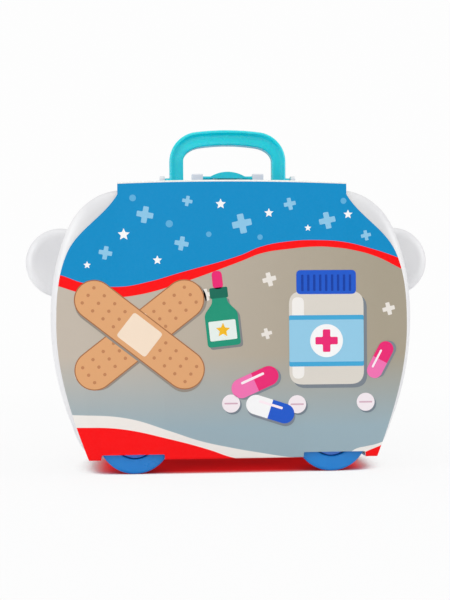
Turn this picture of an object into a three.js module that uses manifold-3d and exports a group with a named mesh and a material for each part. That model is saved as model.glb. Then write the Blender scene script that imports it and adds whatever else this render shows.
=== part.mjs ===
// Toy doctor case: a clam-shell carry case on four wheels, with round ears, a folding handle and
// a latch on top, a tray of toy instruments inside and a folded card sleeve around it.
// Millimetres. X runs to the right, Y away from the front, Z up. The origin lies on the floor,
// midway between the wheels, below the plane where the two shells meet.

import * as THREE from 'three';
import { mergeVertices } from 'three/addons/utils/BufferGeometryUtils.js';
import Module from 'manifold-3d';

const wasm = await Module();
wasm.setup();

// Clearances and construction allowances
const seat = 0.3;              // between pieces that rest on each other
const slip = 0.5;              // between pieces that slide past each other
const overrun = 1;             // how far a cutting tool runs past what it cuts
const bite = 0.5;              // how far the solids of one piece reach into each other
const degree = Math.PI / 180;

// Shells: the outline at the parting plane, then the moulded walls
const halfWidth = 122.7;
const widestHeight = 103;
const bodyBottom = 10.5;
const bodyTop = 191.5;
const topCrown = 1.5;          // how far the top falls from the middle to its ends
const topInset = 48.7;         // from the widest point to the end of the nearly flat top
const bottomInset = 30.7;      // from the widest point to the end of the flat bottom
const shoulderInset = 11.7;
const shoulderDrop = 28.1;
const shoulderHeading = 114;   // degrees from +X, going up the right-hand side
const heelInset = 12.7;
const heelRise = 23.5;
const heelHeading = 69;
const shellDepth = 50;
const wall = 1.8;
const edgeRound = 9;
const draft = 0.05;            // inward slope of the side walls, per millimetre of depth
const sideChords = 4;          // chords in each stretch of the outline
const roundSteps = 3;

// Ears
const earSink = 6.4;           // from the widest point of the shells in to the centre of the ear
const earHeight = 141;
const earRadius = 24;
const earDepth = 15;
const earRound = 7;
const earSides = 22;

// Rim lip and tray ledges of the rear shell
const lipReach = 2.5;
const lipThickness = 1.3;
const lipRoot = 4;
const lipStart = 32;           // the lip stops this high above the floor
const ledgeWidth = 12;
const ledgeReach = 3;
const ledgeThickness = 2.4;
const topLedge = 50;           // from the middle to each upper ledge
const bottomLedge = 30;
const sideLedgeDrop = 24;      // from the widest height down to the ledges at the sides

// Wheels, wheel wells, hub caps and screws
const wheelRadius = 24.5;
const wheelWidth = 18;
const wheelInset = 57.2;       // from the widest point of the shells to the axle
const wheelGap = 2.5;          // between the tread and the wall of the well
const wheelBevel = 1.3;
const wheelSides = 24;
const wellSetback = 2.2;       // from the face of the shell to the face of the wheel
const rimWall = 2.2;
const hubRadius = 13.2;
const hubDepth = 6.5;
const hubFloor = 2.2;
const hubTube = 7;
const axleRadius = 4;
const axlePlay = 0.3;
const capWall = 1.5;
const capThickness = 1.9;
const capCrown = 0.6;
const capBevel = 0.8;
const screwRadius = 1.3;
const screwLength = 11;
const screwPoint = 1.2;
const screwHead = 6.5;
const screwHeadHeight = 1.4;

// Hinge below the parting plane
const hingeDrop = 4;           // from the bottom of the shells to the hinge axis
const hingeOffset = 24;
const knuckleRadius = 3;
const knuckleLength = 12;
const sideKnuckle = 7;
const hingePinRadius = 1.3;

// Handle, with its heights measured from the top of the shells
const handleHalf = 41.3;
const handleRise = 43.6;
const handleCrown = 1.6;       // how far the bar falls from the middle to the ends of its crown
const crownHalf = 22;
const underHalf = 16.6;        // half the length of the nearly flat underside of the bar
const crownHeading = 169;
const handleBar = 11.3;
const handleLeg = 9.7;
const handleDepth = 10;
const handleBend = 20.5;       // where the legs start to curve
const handleBevel = 1.4;
const pivotDepth = 9;          // from the parting plane to the pivot
const pivotRise = 6.8;
const handlePinRadius = 2;
const handleBoss = 2.9;
const bossReach = 3.2;
const lugThickness = 3.5;
const lugRadius = 4.3;
const lugBase = 11;

// Latch and catch, with their heights measured from the top of the shells
const latchDepth = 7;          // from the parting plane to the pivot of the latch
const latchRise = 8.1;
const latchLength = 22;        // from the pivot to the free end
const latchStraight = 9.5;     // from the pivot to where the sides start to curve
const latchHalf = 12.8;
const latchTipHalf = 8;
const latchCrest = 12.4;
const latchCrown = 3.8;
const latchThickness = 2.2;
const latchHeel = 2.4;         // from the pivot back to the hinged end
const latchFoot = 0.2;         // from the pivot down to the flat underside
const latchPinRadius = 1.3;
const latchWeb = 1.2;          // half the thickness of the web that fills the arch at the pivot
const latchRib = 2;
const latchRibSetback = 3.5;
const latchSidePlay = 4.5;     // from the edge of the plate to the brackets
const latchSlotStart = 8.5;
const latchSlotLength = 13;
const latchSlotWidth = 2;
const bracketWidth = 7.7;
const bracketDepth = 10;
const bracketTaper = 2;
const bracketRise = 11;
const catchHalf = 7;
const catchDepth = 5;
const catchSetback = 1;        // from the free end of the latch back to the catch
const catchTaper = 1;
const catchPlay = 1;           // from the top of the catch to the underside of the plate

// Card sleeve
const cardThickness = 0.7;
const cardInset = 6.4;         // from the widest point of the shells to that of the card
const cardWidestDrop = 5;
const cardFootReach = 3.6;     // how far the foot of the card passes the flat bottom
const cardNeckReach = 2;       // how far the neck of the card passes the flat top
const cardNeckDrop = 6.5;      // straight part of the neck below the top edge
const cardNeckHeading = 120;
const cardShoulderInset = 7.3;
const cardShoulderDrop = 17.4;
const wheelNotchPlay = 0.5;
const wheelNotchHeight = 3.6;
const windowPlay = 1.5;        // around the brackets and the lugs

// Inner tray; the axis of each toy lies toyDepth behind the parting plane
const trayDepth = 9;
const trayThickness = 1.2;
const pocketPlay = 0.6;
const capsuleChords = 3;       // in each quarter of a pocket's round ends
const toyDepth = 12;

// Toy instruments: turned parts are given by their radii and lengths along the axis
const syringe = { radius: 9, wall: 1.5, floor: 3, bevel: 1.5, bore: 1, flange: 16, flangeLip: 1.2, plate: 2 };
const syringeInset = 50.7;     // from the widest point of the shells to the axis
const syringeHeadroom = 9.5;   // from the top of the shells to the end of the pocket
const nozzle = { length: 9, radius: 2.6, taper: 0.7 };
const plunger = { thumb: 9.5, plate: 2, piston: 5, arm: 10, armThickness: 1.6 };
const plungerOut = 24;         // between the flange and the thumb plate at rest
const plungerTravel = 24;
const thermometer = { length: 78, radius: 4.2, tip: 2.2, tipLength: 14, neck: 6, bevel: 1.2 };
const thermometerSpace = 10;   // from the flange of the syringe to the axis of the thermometer
const hammer = { grip: 4.4, neck: 3, gripLength: 34, neckLength: 6, end: 1.4, head: 8, waist: 6.5, bevel: 2 };
const hammerSpace = 7.2;         // from the shoulder of the shells to the pocket of the head
const hammerDrop = 20;         // from the shoulder of the shells down to the head
const headHalf = 16;
const bulb = { half: 18, radius: 11.5, neck: 3.4, collar: 3, shoulder: 8, belly: 16, taper: 14, nose: 4.6 };
const scope = { foot: 92, tube: 3.2, hub: 8.5, hubHalf: 5, tip: 5, hose: 2.8 };
const scopeOffset = 10;        // from the middle of the case to the hub, to the left
const scopeHeadroom = 33.5;
const scopeSpace = 8;          // between the pockets of the headset and the thermometer
const tubeSteps = 11;
const tubeSides = 6;
const chest = { offset: 8, height: 46, radius: 13, half: 4, rim: 2, dish: 1 };

// Colours, roughness
const finishes = {
  shell: { color: 0xf1f0ec, roughness: 0.38 },
  teal: { color: 0x16c3c8, roughness: 0.32 },
  wheel: { color: 0x1a80cb, roughness: 0.35 },
  cap: { color: 0xf4f4f4, roughness: 0.4 },
  steel: { color: 0xb9bcc0, roughness: 0.3, metalness: 1 },
  tray: { color: 0x2458bd, roughness: 0.35 },
  card: { color: 0x1887be, roughness: 0.45 },
  panel: { color: 0x5fb4dc, roughness: 0.5 },
  pink: { color: 0xf277b4, roughness: 0.35 },
  rose: { color: 0xee2f76, roughness: 0.35 },
  hose: { color: 0xf3e6ec, roughness: 0.45 },
};

// Places that follow from the sizes above
const topHalf = halfWidth - topInset;
const bottomHalf = halfWidth - bottomInset;
const shoulder = new THREE.Vector2(halfWidth - shoulderInset, bodyTop - shoulderDrop);
const heel = new THREE.Vector2(halfWidth - heelInset, bodyBottom + heelRise);
const earOffset = halfWidth - earSink;
const wheelOffset = halfWidth - wheelInset;
const wheelFace = shellDepth - wellSetback;
const wheelBack = wheelFace - wheelWidth;
const wellFloor = wheelBack - seat;
const wellRadius = wheelRadius + wheelGap;
const wheelCentre = wheelRadius * Math.cos(Math.PI / wheelSides);   // flat side of the tread down
const boreRadius = axleRadius + axlePlay;
const hubFace = wheelWidth - hubDepth;                              // from the back of the wheel
const capHeight = screwHeadHeight + seat + capThickness;
const hingeHeight = bodyBottom - hingeDrop;
const handlePivot = new THREE.Vector2(pivotDepth, bodyTop + pivotRise);
const handleTop = bodyTop + handleRise;
const latchPivot = new THREE.Vector2(-latchDepth, bodyTop + latchRise);
const latchTop = bodyTop + latchCrest;
const latchTip = latchPivot.x + latchLength;
const latchBack = latchPivot.x - latchHeel;
const bracketNear = latchHalf + latchSidePlay;
const lugNear = handleHalf + bossReach + seat;
const archRadius = (latchHalf ** 2 + latchCrown ** 2) / (2 * latchCrown);
const archCentre = latchTop - archRadius;
const catchTop = archCentre + Math.sqrt((archRadius - latchThickness) ** 2 - catchHalf ** 2) - catchPlay;
const pocketWall = pocketPlay + trayThickness;
const toyFloor = wheelCentre + wellRadius + wall + slip + pocketWall;   // lowest toy above a well
const syringeX = halfWidth - syringeInset;
const syringeFoot = toyFloor + syringe.radius - syringe.floor;
const plungerRoom = plungerOut + plungerTravel + plunger.plate;
const syringeTop = bodyTop - syringeHeadroom - plunger.thumb - plungerRoom;
const syringeLength = syringeTop - syringeFoot;
const thermometerX = syringeX - syringe.flange - thermometerSpace;
const thermometerFoot = toyFloor + thermometer.radius;
const hammerX = headHalf + pocketWall + hammerSpace - shoulder.x;
const hammerFoot = toyFloor + hammer.grip;
const hammerTop = shoulder.y - hammerDrop;
const bulbX = (hammerX + hammer.grip - scopeOffset - scope.hose) / 2;
const bulbHeight = toyFloor + bulb.radius;
const scopeTop = bodyTop - scopeHeadroom;
const scopeHalf = thermometerX + scopeOffset - thermometer.radius - scope.tube - 2 * pocketWall - scopeSpace;

const model = new THREE.Group();

// Turns a closed three.js geometry into a solid.
function solidOf(geometry) {
  const bare = geometry.clone();
  bare.deleteAttribute('normal');
  bare.deleteAttribute('uv');
  const merged = mergeVertices(bare, 1e-4);
  return new wasm.Manifold(new wasm.Mesh({
    numProp: 3,
    vertProperties: new Float32Array(merged.attributes.position.array),
    triVerts: new Uint32Array(merged.index.array),
  }));
}

// Makes a named mesh of a solid and hangs it in a group.
function addPiece(name, solid, finish, group = model) {
  const { vertProperties, triVerts } = solid.getMesh();
  const geometry = new THREE.BufferGeometry();
  geometry.setAttribute('position', new THREE.BufferAttribute(new Float32Array(vertProperties), 3));
  geometry.setIndex(new THREE.BufferAttribute(new Uint32Array(triVerts), 1));
  geometry.computeVertexNormals();
  const mesh = new THREE.Mesh(geometry, new THREE.MeshStandardMaterial(finishes[finish]));
  mesh.name = name;
  group.add(mesh);
  return mesh;
}

function unite(...solids) {
  return solids.reduce((sum, solid) => sum.add(solid));
}

function cut(solid, ...tools) {
  return tools.reduce((rest, tool) => rest.subtract(tool), solid);
}

// Prisms: each takes its outline in the two other axes and runs along its own.
function extruded(shape, length, curveSegments) {
  return new THREE.ExtrudeGeometry(shape, { depth: length, bevelEnabled: false, curveSegments });
}

function prismY(shape, from, to, curveSegments = 4) {
  return solidOf(extruded(shape, to - from, curveSegments).rotateX(Math.PI / 2).translate(0, to, 0));
}

function prismX(shape, from, to, curveSegments = 4) {
  const turn = new THREE.Matrix4().set(0, 0, 1, from, 1, 0, 0, 0, 0, 1, 0, 0, 0, 0, 0, 1);
  return solidOf(extruded(shape, to - from, curveSegments).applyMatrix4(turn));
}

function prismZ(shape, from, to, curveSegments = 4) {
  return solidOf(extruded(shape, to - from, curveSegments).translate(0, 0, from));
}

// A box between two opposite corners.
function block(x0, x1, y0, y1, z0, z1) {
  const geometry = new THREE.BoxGeometry(x1 - x0, y1 - y0, z1 - z0);
  return solidOf(geometry.translate((x0 + x1) / 2, (y0 + y1) / 2, (z0 + z1) / 2));
}

// Round rods along Y and along X.
function rodY(x, z, radius, from, to, sides = 20) {
  const geometry = new THREE.CylinderGeometry(radius, radius, to - from, sides);
  return solidOf(geometry.translate(x, (from + to) / 2, z));
}

function rodX(y, z, radius, from, to, sides = 16) {
  const geometry = new THREE.CylinderGeometry(radius, radius, to - from, sides);
  return solidOf(geometry.rotateZ(Math.PI / 2).translate((from + to) / 2, y, z));
}

// A solid of revolution about Y; the profile lists radius and place along the axis.
function turned(profile, sides, start = 0) {
  const points = profile.map(([radius, along]) => new THREE.Vector2(radius, along));
  points.push(points[0].clone());
  const solid = solidOf(new THREE.LatheGeometry(points, sides, start));
  return solid.volume() < 0 ? solidOf(new THREE.LatheGeometry(points.reverse(), sides, start)) : solid;
}

// Joins rings of equal length into a closed solid, capped at both ends.
function loft(rings) {
  const count = rings[0].length;
  const centre = (ring) => ring.reduce((sum, p) => sum.add(p), new THREE.Vector3()).divideScalar(count);
  const positions = [...rings.flat(), centre(rings[0]), centre(rings.at(-1))];
  const first = rings.length * count;
  const faces = [];
  for (let i = 0; i < count; i += 1) {
    const next = (i + 1) % count;
    faces.push([first, next, i], [first + 1, first - count + i, first - count + next]);
    for (let r = 0; r < rings.length - 1; r += 1) {
      const low = r * count;
      faces.push([low + i, low + next, low + count + i], [low + next, low + count + next, low + count + i]);
    }
  }
  const side = new THREE.Vector3().subVectors(rings[0][1], rings[0][0]);
  const up = new THREE.Vector3().subVectors(rings[1][0], rings[0][0]);
  const out = new THREE.Vector3().subVectors(rings[0][0], positions[first]);
  const outward = side.cross(up).dot(out) > 0;
  const geometry = new THREE.BufferGeometry().setFromPoints(positions);
  geometry.setIndex(faces.flatMap((face) => (outward ? face : face.toReversed())));
  return solidOf(geometry);
}

// Stacks one outline, drawn in X and Z, at two depths.
function slab(outline, from, to) {
  return loft([from, to].map((deep) => outline.map((p) => new THREE.Vector3(p.x, deep, p.y))));
}

// Adds a cubic to a path that turns between two headings, in degrees, with handles as long as
// those of a round arc over the same turn.
function bend(path, x, y, fromHeading, toHeading) {
  const from = path.currentPoint;
  const turn = Math.abs(toHeading - fromHeading) * degree;
  const handle = Math.hypot(x - from.x, y - from.y) * (2 / 3) * (Math.tan(turn / 4) / Math.sin(turn / 2));
  const [leave, arrive] = [fromHeading * degree, toHeading * degree];
  path.bezierCurveTo(from.x + handle * Math.cos(leave), from.y + handle * Math.sin(leave),
    x - handle * Math.cos(arrive), y - handle * Math.sin(arrive), x, y);
}

// Samples a path on the right-hand side and runs on along its mirror image on the left.
function symmetric(path, chords) {
  const right = path.curves.flatMap((curve, i) => curve.getPoints(curve.isLineCurve ? 1 : chords)
    .slice(i ? 1 : 0));
  const left = right.filter((p) => p.x > 0).map((p) => new THREE.Vector2(-p.x, p.y));
  return [...right, ...left.reverse()];
}

// Height of the crowned top of the shells.
function topAt(x) {
  return bodyTop - topCrown * (x / topHalf) ** 2;
}

// Outline of the shells at the parting plane, anticlockwise from the middle of the bottom.
function bodyOutline() {
  const path = new THREE.Path();
  const topSlope = Math.atan2(2 * topCrown, topHalf) / degree;
  path.moveTo(0, bodyBottom);
  path.lineTo(bottomHalf, bodyBottom);
  bend(path, heel.x, heel.y, 0, heelHeading);
  bend(path, halfWidth, widestHeight, heelHeading, 90);
  bend(path, shoulder.x, shoulder.y, 90, shoulderHeading);
  bend(path, topHalf, topAt(topHalf), shoulderHeading, 180 - topSlope);
  for (const x of [topHalf / 2, 0]) path.lineTo(x, topAt(x));
  return symmetric(path, sideChords);
}

function earOutline(centre) {
  return Array.from({ length: earSides }, (_, i) => {
    const turn = (i / earSides) * 2 * Math.PI;
    return new THREE.Vector2(centre + earRadius * Math.cos(turn), earHeight + earRadius * Math.sin(turn));
  });
}

// Moves each point of a closed anticlockwise outline inwards by the same distance.
function inset(outline, distance) {
  return outline.map((point, i) => {
    const before = outline.at(i - 1);
    const after = outline[(i + 1) % outline.length];
    const along = new THREE.Vector2().subVectors(after, before).normalize();
    return new THREE.Vector2(point.x - along.y * distance, point.y + along.x * distance);
  });
}

// A moulded half: drafted side walls from the mouth at the parting plane, then a rounded edge to
// a flat face. The side is -1 for the front and 1 for the rear; a thickness gives the hollow.
function moulded(outline, side, mouth, depth, round, thickness) {
  const steps = thickness > 0 ? roundSteps - 1 : roundSteps;
  const radius = round - thickness;
  const straight = depth - thickness - radius;
  const levels = [[mouth, thickness], [straight, thickness + draft * straight]];
  for (let i = 1; i <= steps; i += 1) {
    const turn = ((i / steps) * Math.PI) / 2;
    const inward = thickness + draft * straight + radius * (1 - Math.cos(turn));
    levels.push([straight + radius * Math.sin(turn), inward]);
  }
  return loft(levels.map(([deep, inward]) => inset(outline, inward)
    .map((p) => new THREE.Vector3(p.x, side * deep, p.y))));
}

// A shell half with its two ears, as a full solid or, with a thickness, as the hollow in it.
function shellBody(side, mouth, thickness) {
  const ears = [-earOffset, earOffset]
    .map((centre) => moulded(earOutline(centre), side, mouth, earDepth, earRound, thickness));
  return unite(moulded(bodyOutline(), side, mouth, shellDepth, edgeRound, thickness), ...ears);
}

// Two depths from the parting plane, in order for the front or the rear half.
function span(side, near, far) {
  return side > 0 ? [near, far] : [-far, -near];
}

// Adds the wheel wells, with an axle stub in each, to a shell.
function withWells(shell, outer, side) {
  let result = shell;
  for (const x of [-wheelOffset, wheelOffset]) {
    const rod = (radius, near, far, sides) => rodY(x, wheelCentre, radius, ...span(side, near, far), sides);
    const housing = rod(wellRadius + wall, wellFloor - wall, shellDepth, wheelSides);
    const well = rod(wellRadius, wellFloor, shellDepth + overrun, wheelSides);
    const axle = rod(axleRadius, wellFloor - bite, wheelBack + hubFace, 14);
    const pilot = rod(screwRadius + seat, wheelBack + hubFace - screwLength, shellDepth, 8);
    result = cut(result.add(housing.intersect(outer)), well);
    result = cut(result.add(axle), pilot);
  }
  return result;
}

// A hinge knuckle: a barrel on the hinge axis with a web up into the bottom wall of its shell.
function knuckle(side, from, to) {
  const [near, far] = span(side, seat / 2, knuckleRadius);
  const web = new THREE.Shape([
    new THREE.Vector2(near, hingeHeight), new THREE.Vector2(far, hingeHeight),
    new THREE.Vector2(far, bodyBottom + bite), new THREE.Vector2(near, bodyBottom + bite),
  ]);
  const barrel = rodX(0, hingeHeight, knuckleRadius, from, to, 14);
  return cut(barrel.add(prismX(web, from, to)),
    rodX(0, hingeHeight, hingePinRadius + seat, from - overrun, to + overrun, 10));
}

// Where a solid that stands on the top of a shell starts, so that it reaches into the drafted wall.
function footAt(x, deep) {
  return topAt(x) - draft * Math.abs(deep) - bite;
}

// A block on the top of a shell, seen from the side, with ends that slope in towards its top.
function topBlock(near, far, top, taper) {
  const foot = footAt(bracketNear + bracketWidth, Math.max(Math.abs(near), Math.abs(far)));
  return new THREE.Shape([
    new THREE.Vector2(near, foot), new THREE.Vector2(far, foot),
    new THREE.Vector2(far - taper, top), new THREE.Vector2(near + taper, top),
  ]);
}

function buildFrontShell() {
  const outer = shellBody(-1, seat / 2, 0);
  let shell = withWells(cut(outer, shellBody(-1, -overrun, wall)), outer, -1);
  for (const x of [-hingeOffset, hingeOffset]) {
    shell = shell.add(knuckle(-1, x - knuckleLength / 2, x + knuckleLength / 2));
  }
  // The latch hangs between two flat-topped brackets near the rim.
  const bracket = topBlock(latchPivot.x - bracketDepth / 2, latchPivot.x + bracketDepth / 2,
    bodyTop + bracketRise, bracketTaper);
  const far = bracketNear + bracketWidth;
  shell = unite(shell, prismX(bracket, bracketNear, far), prismX(bracket, -far, -bracketNear));
  const hole = rodX(latchPivot.x, latchPivot.y, latchPinRadius + seat, -far - overrun, far + overrun, 12);
  return cut(shell, hole);
}

// The lip that centres the front shell on the rear one, with a root that joins it to the wall.
function rimLip() {
  const far = wall + slip + lipThickness;
  const ring = (near, from, to) => cut(slab(inset(bodyOutline(), near), from, to),
    slab(inset(bodyOutline(), far), from - overrun, to + overrun));
  const lip = unite(ring(wall + slip, -lipReach, seat), ring(wall - bite, seat / 2, lipRoot));
  const deep = [-lipReach - overrun, lipRoot + overrun];
  const ears = [-earOffset, earOffset].map((x) => rodY(x, earHeight, earRadius - wall / 2, ...deep));
  return cut(lip, block(-halfWidth, halfWidth, ...deep, 0, lipStart), ...ears);
}

// Short ledges on the inside of the walls, behind the tray.
function ledges() {
  const near = trayDepth + trayThickness + seat;
  const far = near + ledgeThickness;
  const inner = inset(bodyOutline(), wall + draft * near + ledgeReach);
  const ring = cut(slab(inset(bodyOutline(), bite), near, far), slab(inner, near - overrun, far + overrun));
  const half = ledgeWidth / 2;
  const level = widestHeight - sideLedgeDrop;
  return ring.intersect(unite(
    ...[-topLedge, topLedge].map((x) => block(x - half, x + half, 0, shellDepth, widestHeight, bodyTop)),
    ...[-bottomLedge, bottomLedge].map((x) => block(x - half, x + half, 0, shellDepth, 0, widestHeight)),
    block(-halfWidth, halfWidth, 0, shellDepth, level - half, level + half),
  ));
}

function buildRearShell() {
  const outer = shellBody(1, seat / 2, 0);
  let shell = withWells(cut(outer, shellBody(1, -overrun, wall)), outer, 1);
  shell = unite(shell, rimLip(), ledges());
  for (const x of [-hingeOffset, hingeOffset]) {
    const near = knuckleLength / 2 + seat;
    const far = near + sideKnuckle;
    shell = unite(shell, knuckle(1, x + near, x + far), knuckle(1, x - far, x - near));
  }
  // Two round-topped lugs carry the handle.
  const foot = footAt(lugNear + lugThickness, handlePivot.x + lugBase / 2);
  const lug = new THREE.Shape();
  lug.moveTo(handlePivot.x - lugBase / 2, foot);
  lug.lineTo(handlePivot.x + lugBase / 2, foot);
  lug.lineTo(handlePivot.x + lugRadius, handlePivot.y);
  lug.absarc(handlePivot.x, handlePivot.y, lugRadius, 0, Math.PI, false);
  const far = lugNear + lugThickness;
  const lugs = cut(unite(prismX(lug, lugNear, far), prismX(lug, -far, -lugNear)),
    rodX(handlePivot.x, handlePivot.y, handlePinRadius + seat, -far - overrun, far + overrun, 14));
  // The catch lies under the free end of the latch.
  const catchFar = latchTip - catchSetback;
  return unite(shell, lugs,
    prismX(topBlock(catchFar - catchDepth, catchFar, catchTop, catchTaper), -catchHalf, catchHalf));
}

// The handle is an arch with bevelled edges; its legs end in a half round about the pivot.
function buildHandle() {
  const foot = handlePivot.y - handleDepth / 2;
  const arch = (half, top, crown) => {
    const path = new THREE.Path();
    path.moveTo(half, foot);
    path.lineTo(half, bodyTop + handleBend);
    bend(path, crown, top - handleCrown, 90, crownHeading);
    path.quadraticCurveTo(0, top + handleCrown, -crown, top - handleCrown);
    bend(path, -half, bodyTop + handleBend, 360 - crownHeading, 270);
    path.lineTo(-half, foot);
    return path.getPoints(5);
  };
  const outside = arch(handleHalf, handleTop, crownHalf);
  const inside = arch(handleHalf - handleLeg, handleTop - handleBar, underHalf);
  const geometry = new THREE.ExtrudeGeometry(new THREE.Shape([...outside, ...inside.reverse()]), {
    depth: handleDepth - 2 * handleBevel, bevelThickness: handleBevel, bevelSize: handleBevel,
    bevelOffset: -handleBevel, bevelSegments: 1,
  });
  geometry.rotateX(Math.PI / 2).translate(0, handlePivot.x + handleDepth / 2 - handleBevel, 0);
  const half = handleDepth / 2;
  const side = new THREE.Shape();
  side.moveTo(handlePivot.x + half, handlePivot.y);
  side.lineTo(handlePivot.x + half, handleTop + overrun);
  side.lineTo(handlePivot.x - half, handleTop + overrun);
  side.lineTo(handlePivot.x - half, handlePivot.y);
  side.absarc(handlePivot.x, handlePivot.y, half, Math.PI, 2 * Math.PI, false);
  const bow = solidOf(geometry).intersect(prismX(side, -handleHalf - overrun, handleHalf + overrun));
  const rod = (radius, from, to) => rodX(handlePivot.x, handlePivot.y, radius, from, to, 14);
  const ends = [-1, 1].flatMap((way) => [
    rod(handleBoss, ...span(way, handleHalf - handleBevel - bite, handleHalf + bossReach)),
    rod(handlePinRadius, ...span(way, handleHalf, lugNear + lugThickness)),
  ]);
  return unite(bow, ...ends);
}

// The latch is a plate arched across its width, with a flat underside, a web that carries its pins
// and a rib near its end.
function buildLatch() {
  const path = new THREE.Path();
  path.moveTo(latchHalf, latchBack);
  path.lineTo(latchHalf, latchPivot.x + latchStraight);
  bend(path, latchTipHalf, latchTip, 90, 180);
  path.lineTo(0, latchTip);
  const plan = new THREE.Shape(symmetric(path, 6));
  const arc = (radius, extra) => rodY(0, archCentre, radius, latchBack - extra, latchTip + extra, 48);
  const dome = arc(archRadius, overrun);
  const slotStart = latchPivot.x + latchSlotStart;
  const slot = block(-latchSlotLength / 2, latchSlotLength / 2, slotStart, slotStart + latchSlotWidth,
    latchPivot.y, latchTop + overrun);
  const plate = cut(prismZ(plan, latchPivot.y - latchFoot, latchTop + overrun), slot)
    .intersect(cut(dome, arc(archRadius - latchThickness, 2 * overrun)));
  const web = block(-latchHalf, latchHalf, latchPivot.x - latchWeb, latchPivot.x + latchWeb,
    latchPivot.y - latchFoot, latchTop);
  const ribFar = latchTip - latchRibSetback;
  const rib = block(-latchTipHalf, latchTipHalf, ribFar - latchRib, ribFar, catchTop + seat, latchTop);
  const pinEnd = bracketNear + bracketWidth - seat;
  const pinRoot = latchHalf - latchHeel;
  const pins = [-1, 1].map((way) => rodX(latchPivot.x, latchPivot.y, latchPinRadius,
    ...span(way, pinRoot, pinEnd), 12));
  return unite(plate, unite(web, rib).intersect(dome), ...pins);
}

// Half of the card sleeve: a front panel folded back over the top and under the bottom. The
// window is half the width and the depth of the opening round what stands on the top.
function buildSleeve(side, window) {
  const neck = topHalf + cardNeckReach;
  const foot = bottomHalf + cardFootReach;
  const cardHalf = halfWidth - cardInset;
  const bottom = bodyBottom - seat - cardThickness;
  const top = (x) => topAt(x) + seat;
  const shoulderX = cardHalf - cardShoulderInset;
  const shoulderY = shoulder.y - cardShoulderDrop;
  const panel = new THREE.Path();
  panel.moveTo(0, bottom);
  panel.lineTo(foot, bottom);
  bend(panel, cardHalf, widestHeight - cardWidestDrop, heelHeading, 90);
  bend(panel, shoulderX, shoulderY, 90, shoulderHeading);
  bend(panel, neck, top(neck) + cardThickness - cardNeckDrop, shoulderHeading, cardNeckHeading);
  panel.lineTo(neck, top(neck) + cardThickness);
  panel.quadraticCurveTo(neck / 2, top(0) + cardThickness, 0, top(0) + cardThickness);
  const arch = (thickness) => {
    const path = new THREE.Path();
    path.moveTo(neck, top(neck) + thickness);
    path.quadraticCurveTo(neck / 2, top(0) + thickness, 0, top(0) + thickness);
    return symmetric(path, 5);
  };
  const strip = new THREE.Shape([...arch(cardThickness), ...arch(0).reverse()]);
  const face = shellDepth + seat;
  const back = face + cardThickness;
  const sheet = unite(prismY(new THREE.Shape(symmetric(panel, 5)), ...span(side, face, back)),
    prismY(strip, ...span(side, seat / 2, back)),
    block(-foot, foot, ...span(side, seat / 2, back), bottom, bottom + cardThickness));
  const wheelHalf = Math.sqrt(wheelRadius ** 2 - (wheelCentre - bodyBottom) ** 2) + wheelNotchPlay;
  const hingeHalf = knuckleLength / 2 + sideKnuckle + slip + seat;
  const notches = [-1, 1].flatMap((way) => [
    block(way * wheelOffset - wheelHalf, way * wheelOffset + wheelHalf,
      ...span(side, wheelBack - slip, back + overrun), 0, bottom + wheelNotchHeight),
    block(way * hingeOffset - hingeHalf, way * hingeOffset + hingeHalf,
      ...span(side, -overrun, knuckleRadius + 2 * slip), 0, bodyBottom),
  ]);
  const opening = block(-window.half, window.half, ...span(side, -overrun, window.deep),
    bodyTop - 2 * topCrown, latchTop);
  return cut(sheet, opening, ...notches);
}

// The printed card on the inside of the lid, cut round the two wheel wells and off beside them.
function buildLidCard() {
  const deep = shellDepth - wall - seat;
  const outline = inset(bodyOutline(), edgeRound + wall + draft * shellDepth + seat);
  const cuts = [-1, 1].flatMap((way) => [
    rodY(way * wheelOffset, wheelCentre, wellRadius + wall + slip, -shellDepth, 0, wheelSides),
    block(...span(way, wheelOffset, halfWidth), -shellDepth, 0, 0, wheelCentre + wellRadius / 2),
  ]);
  return cut(slab(outline, -deep, -deep + cardThickness), ...cuts);
}

// Wheel, hub cap and screw are turned about their axis, from the back of the wheel outwards.
function buildWheel() {
  const rimInside = wheelRadius - rimWall;
  const faceBack = wheelWidth - hubFloor;
  const hubOutside = hubRadius + hubFloor;
  return turned([
    [boreRadius, 0], [hubTube, 0], [hubTube, hubFace - hubFloor], [hubOutside, hubFace - hubFloor],
    [hubOutside, faceBack], [rimInside, faceBack], [rimInside, 0], [wheelRadius, 0],
    [wheelRadius, wheelWidth - wheelBevel], [wheelRadius - wheelBevel, wheelWidth],
    [hubRadius + wheelBevel, wheelWidth], [hubRadius, wheelWidth - wheelBevel],
    [hubRadius, hubFace], [boreRadius, hubFace],
  ], wheelSides, Math.PI / wheelSides);
}

function buildHubCap() {
  const foot = hubFace + seat;
  const rim = hubRadius - seat;
  const top = foot + capHeight;
  return turned([
    [0, top - capThickness], [rim - capWall, top - capThickness], [rim - capWall, foot], [rim, foot],
    [rim, top - capBevel], [rim - capBevel, top], [0, top + capCrown],
  ], 16);
}

function buildWheelScrew() {
  const under = hubFace + seat;
  const tip = under - screwLength + overrun;
  return turned([
    [0, tip], [screwRadius, tip + screwPoint], [screwRadius, under], [screwHead, under],
    [screwHead, under + screwHeadHeight / 2], [screwHead / 2, under + screwHeadHeight],
    [0, under + screwHeadHeight],
  ], 10);
}

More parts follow.
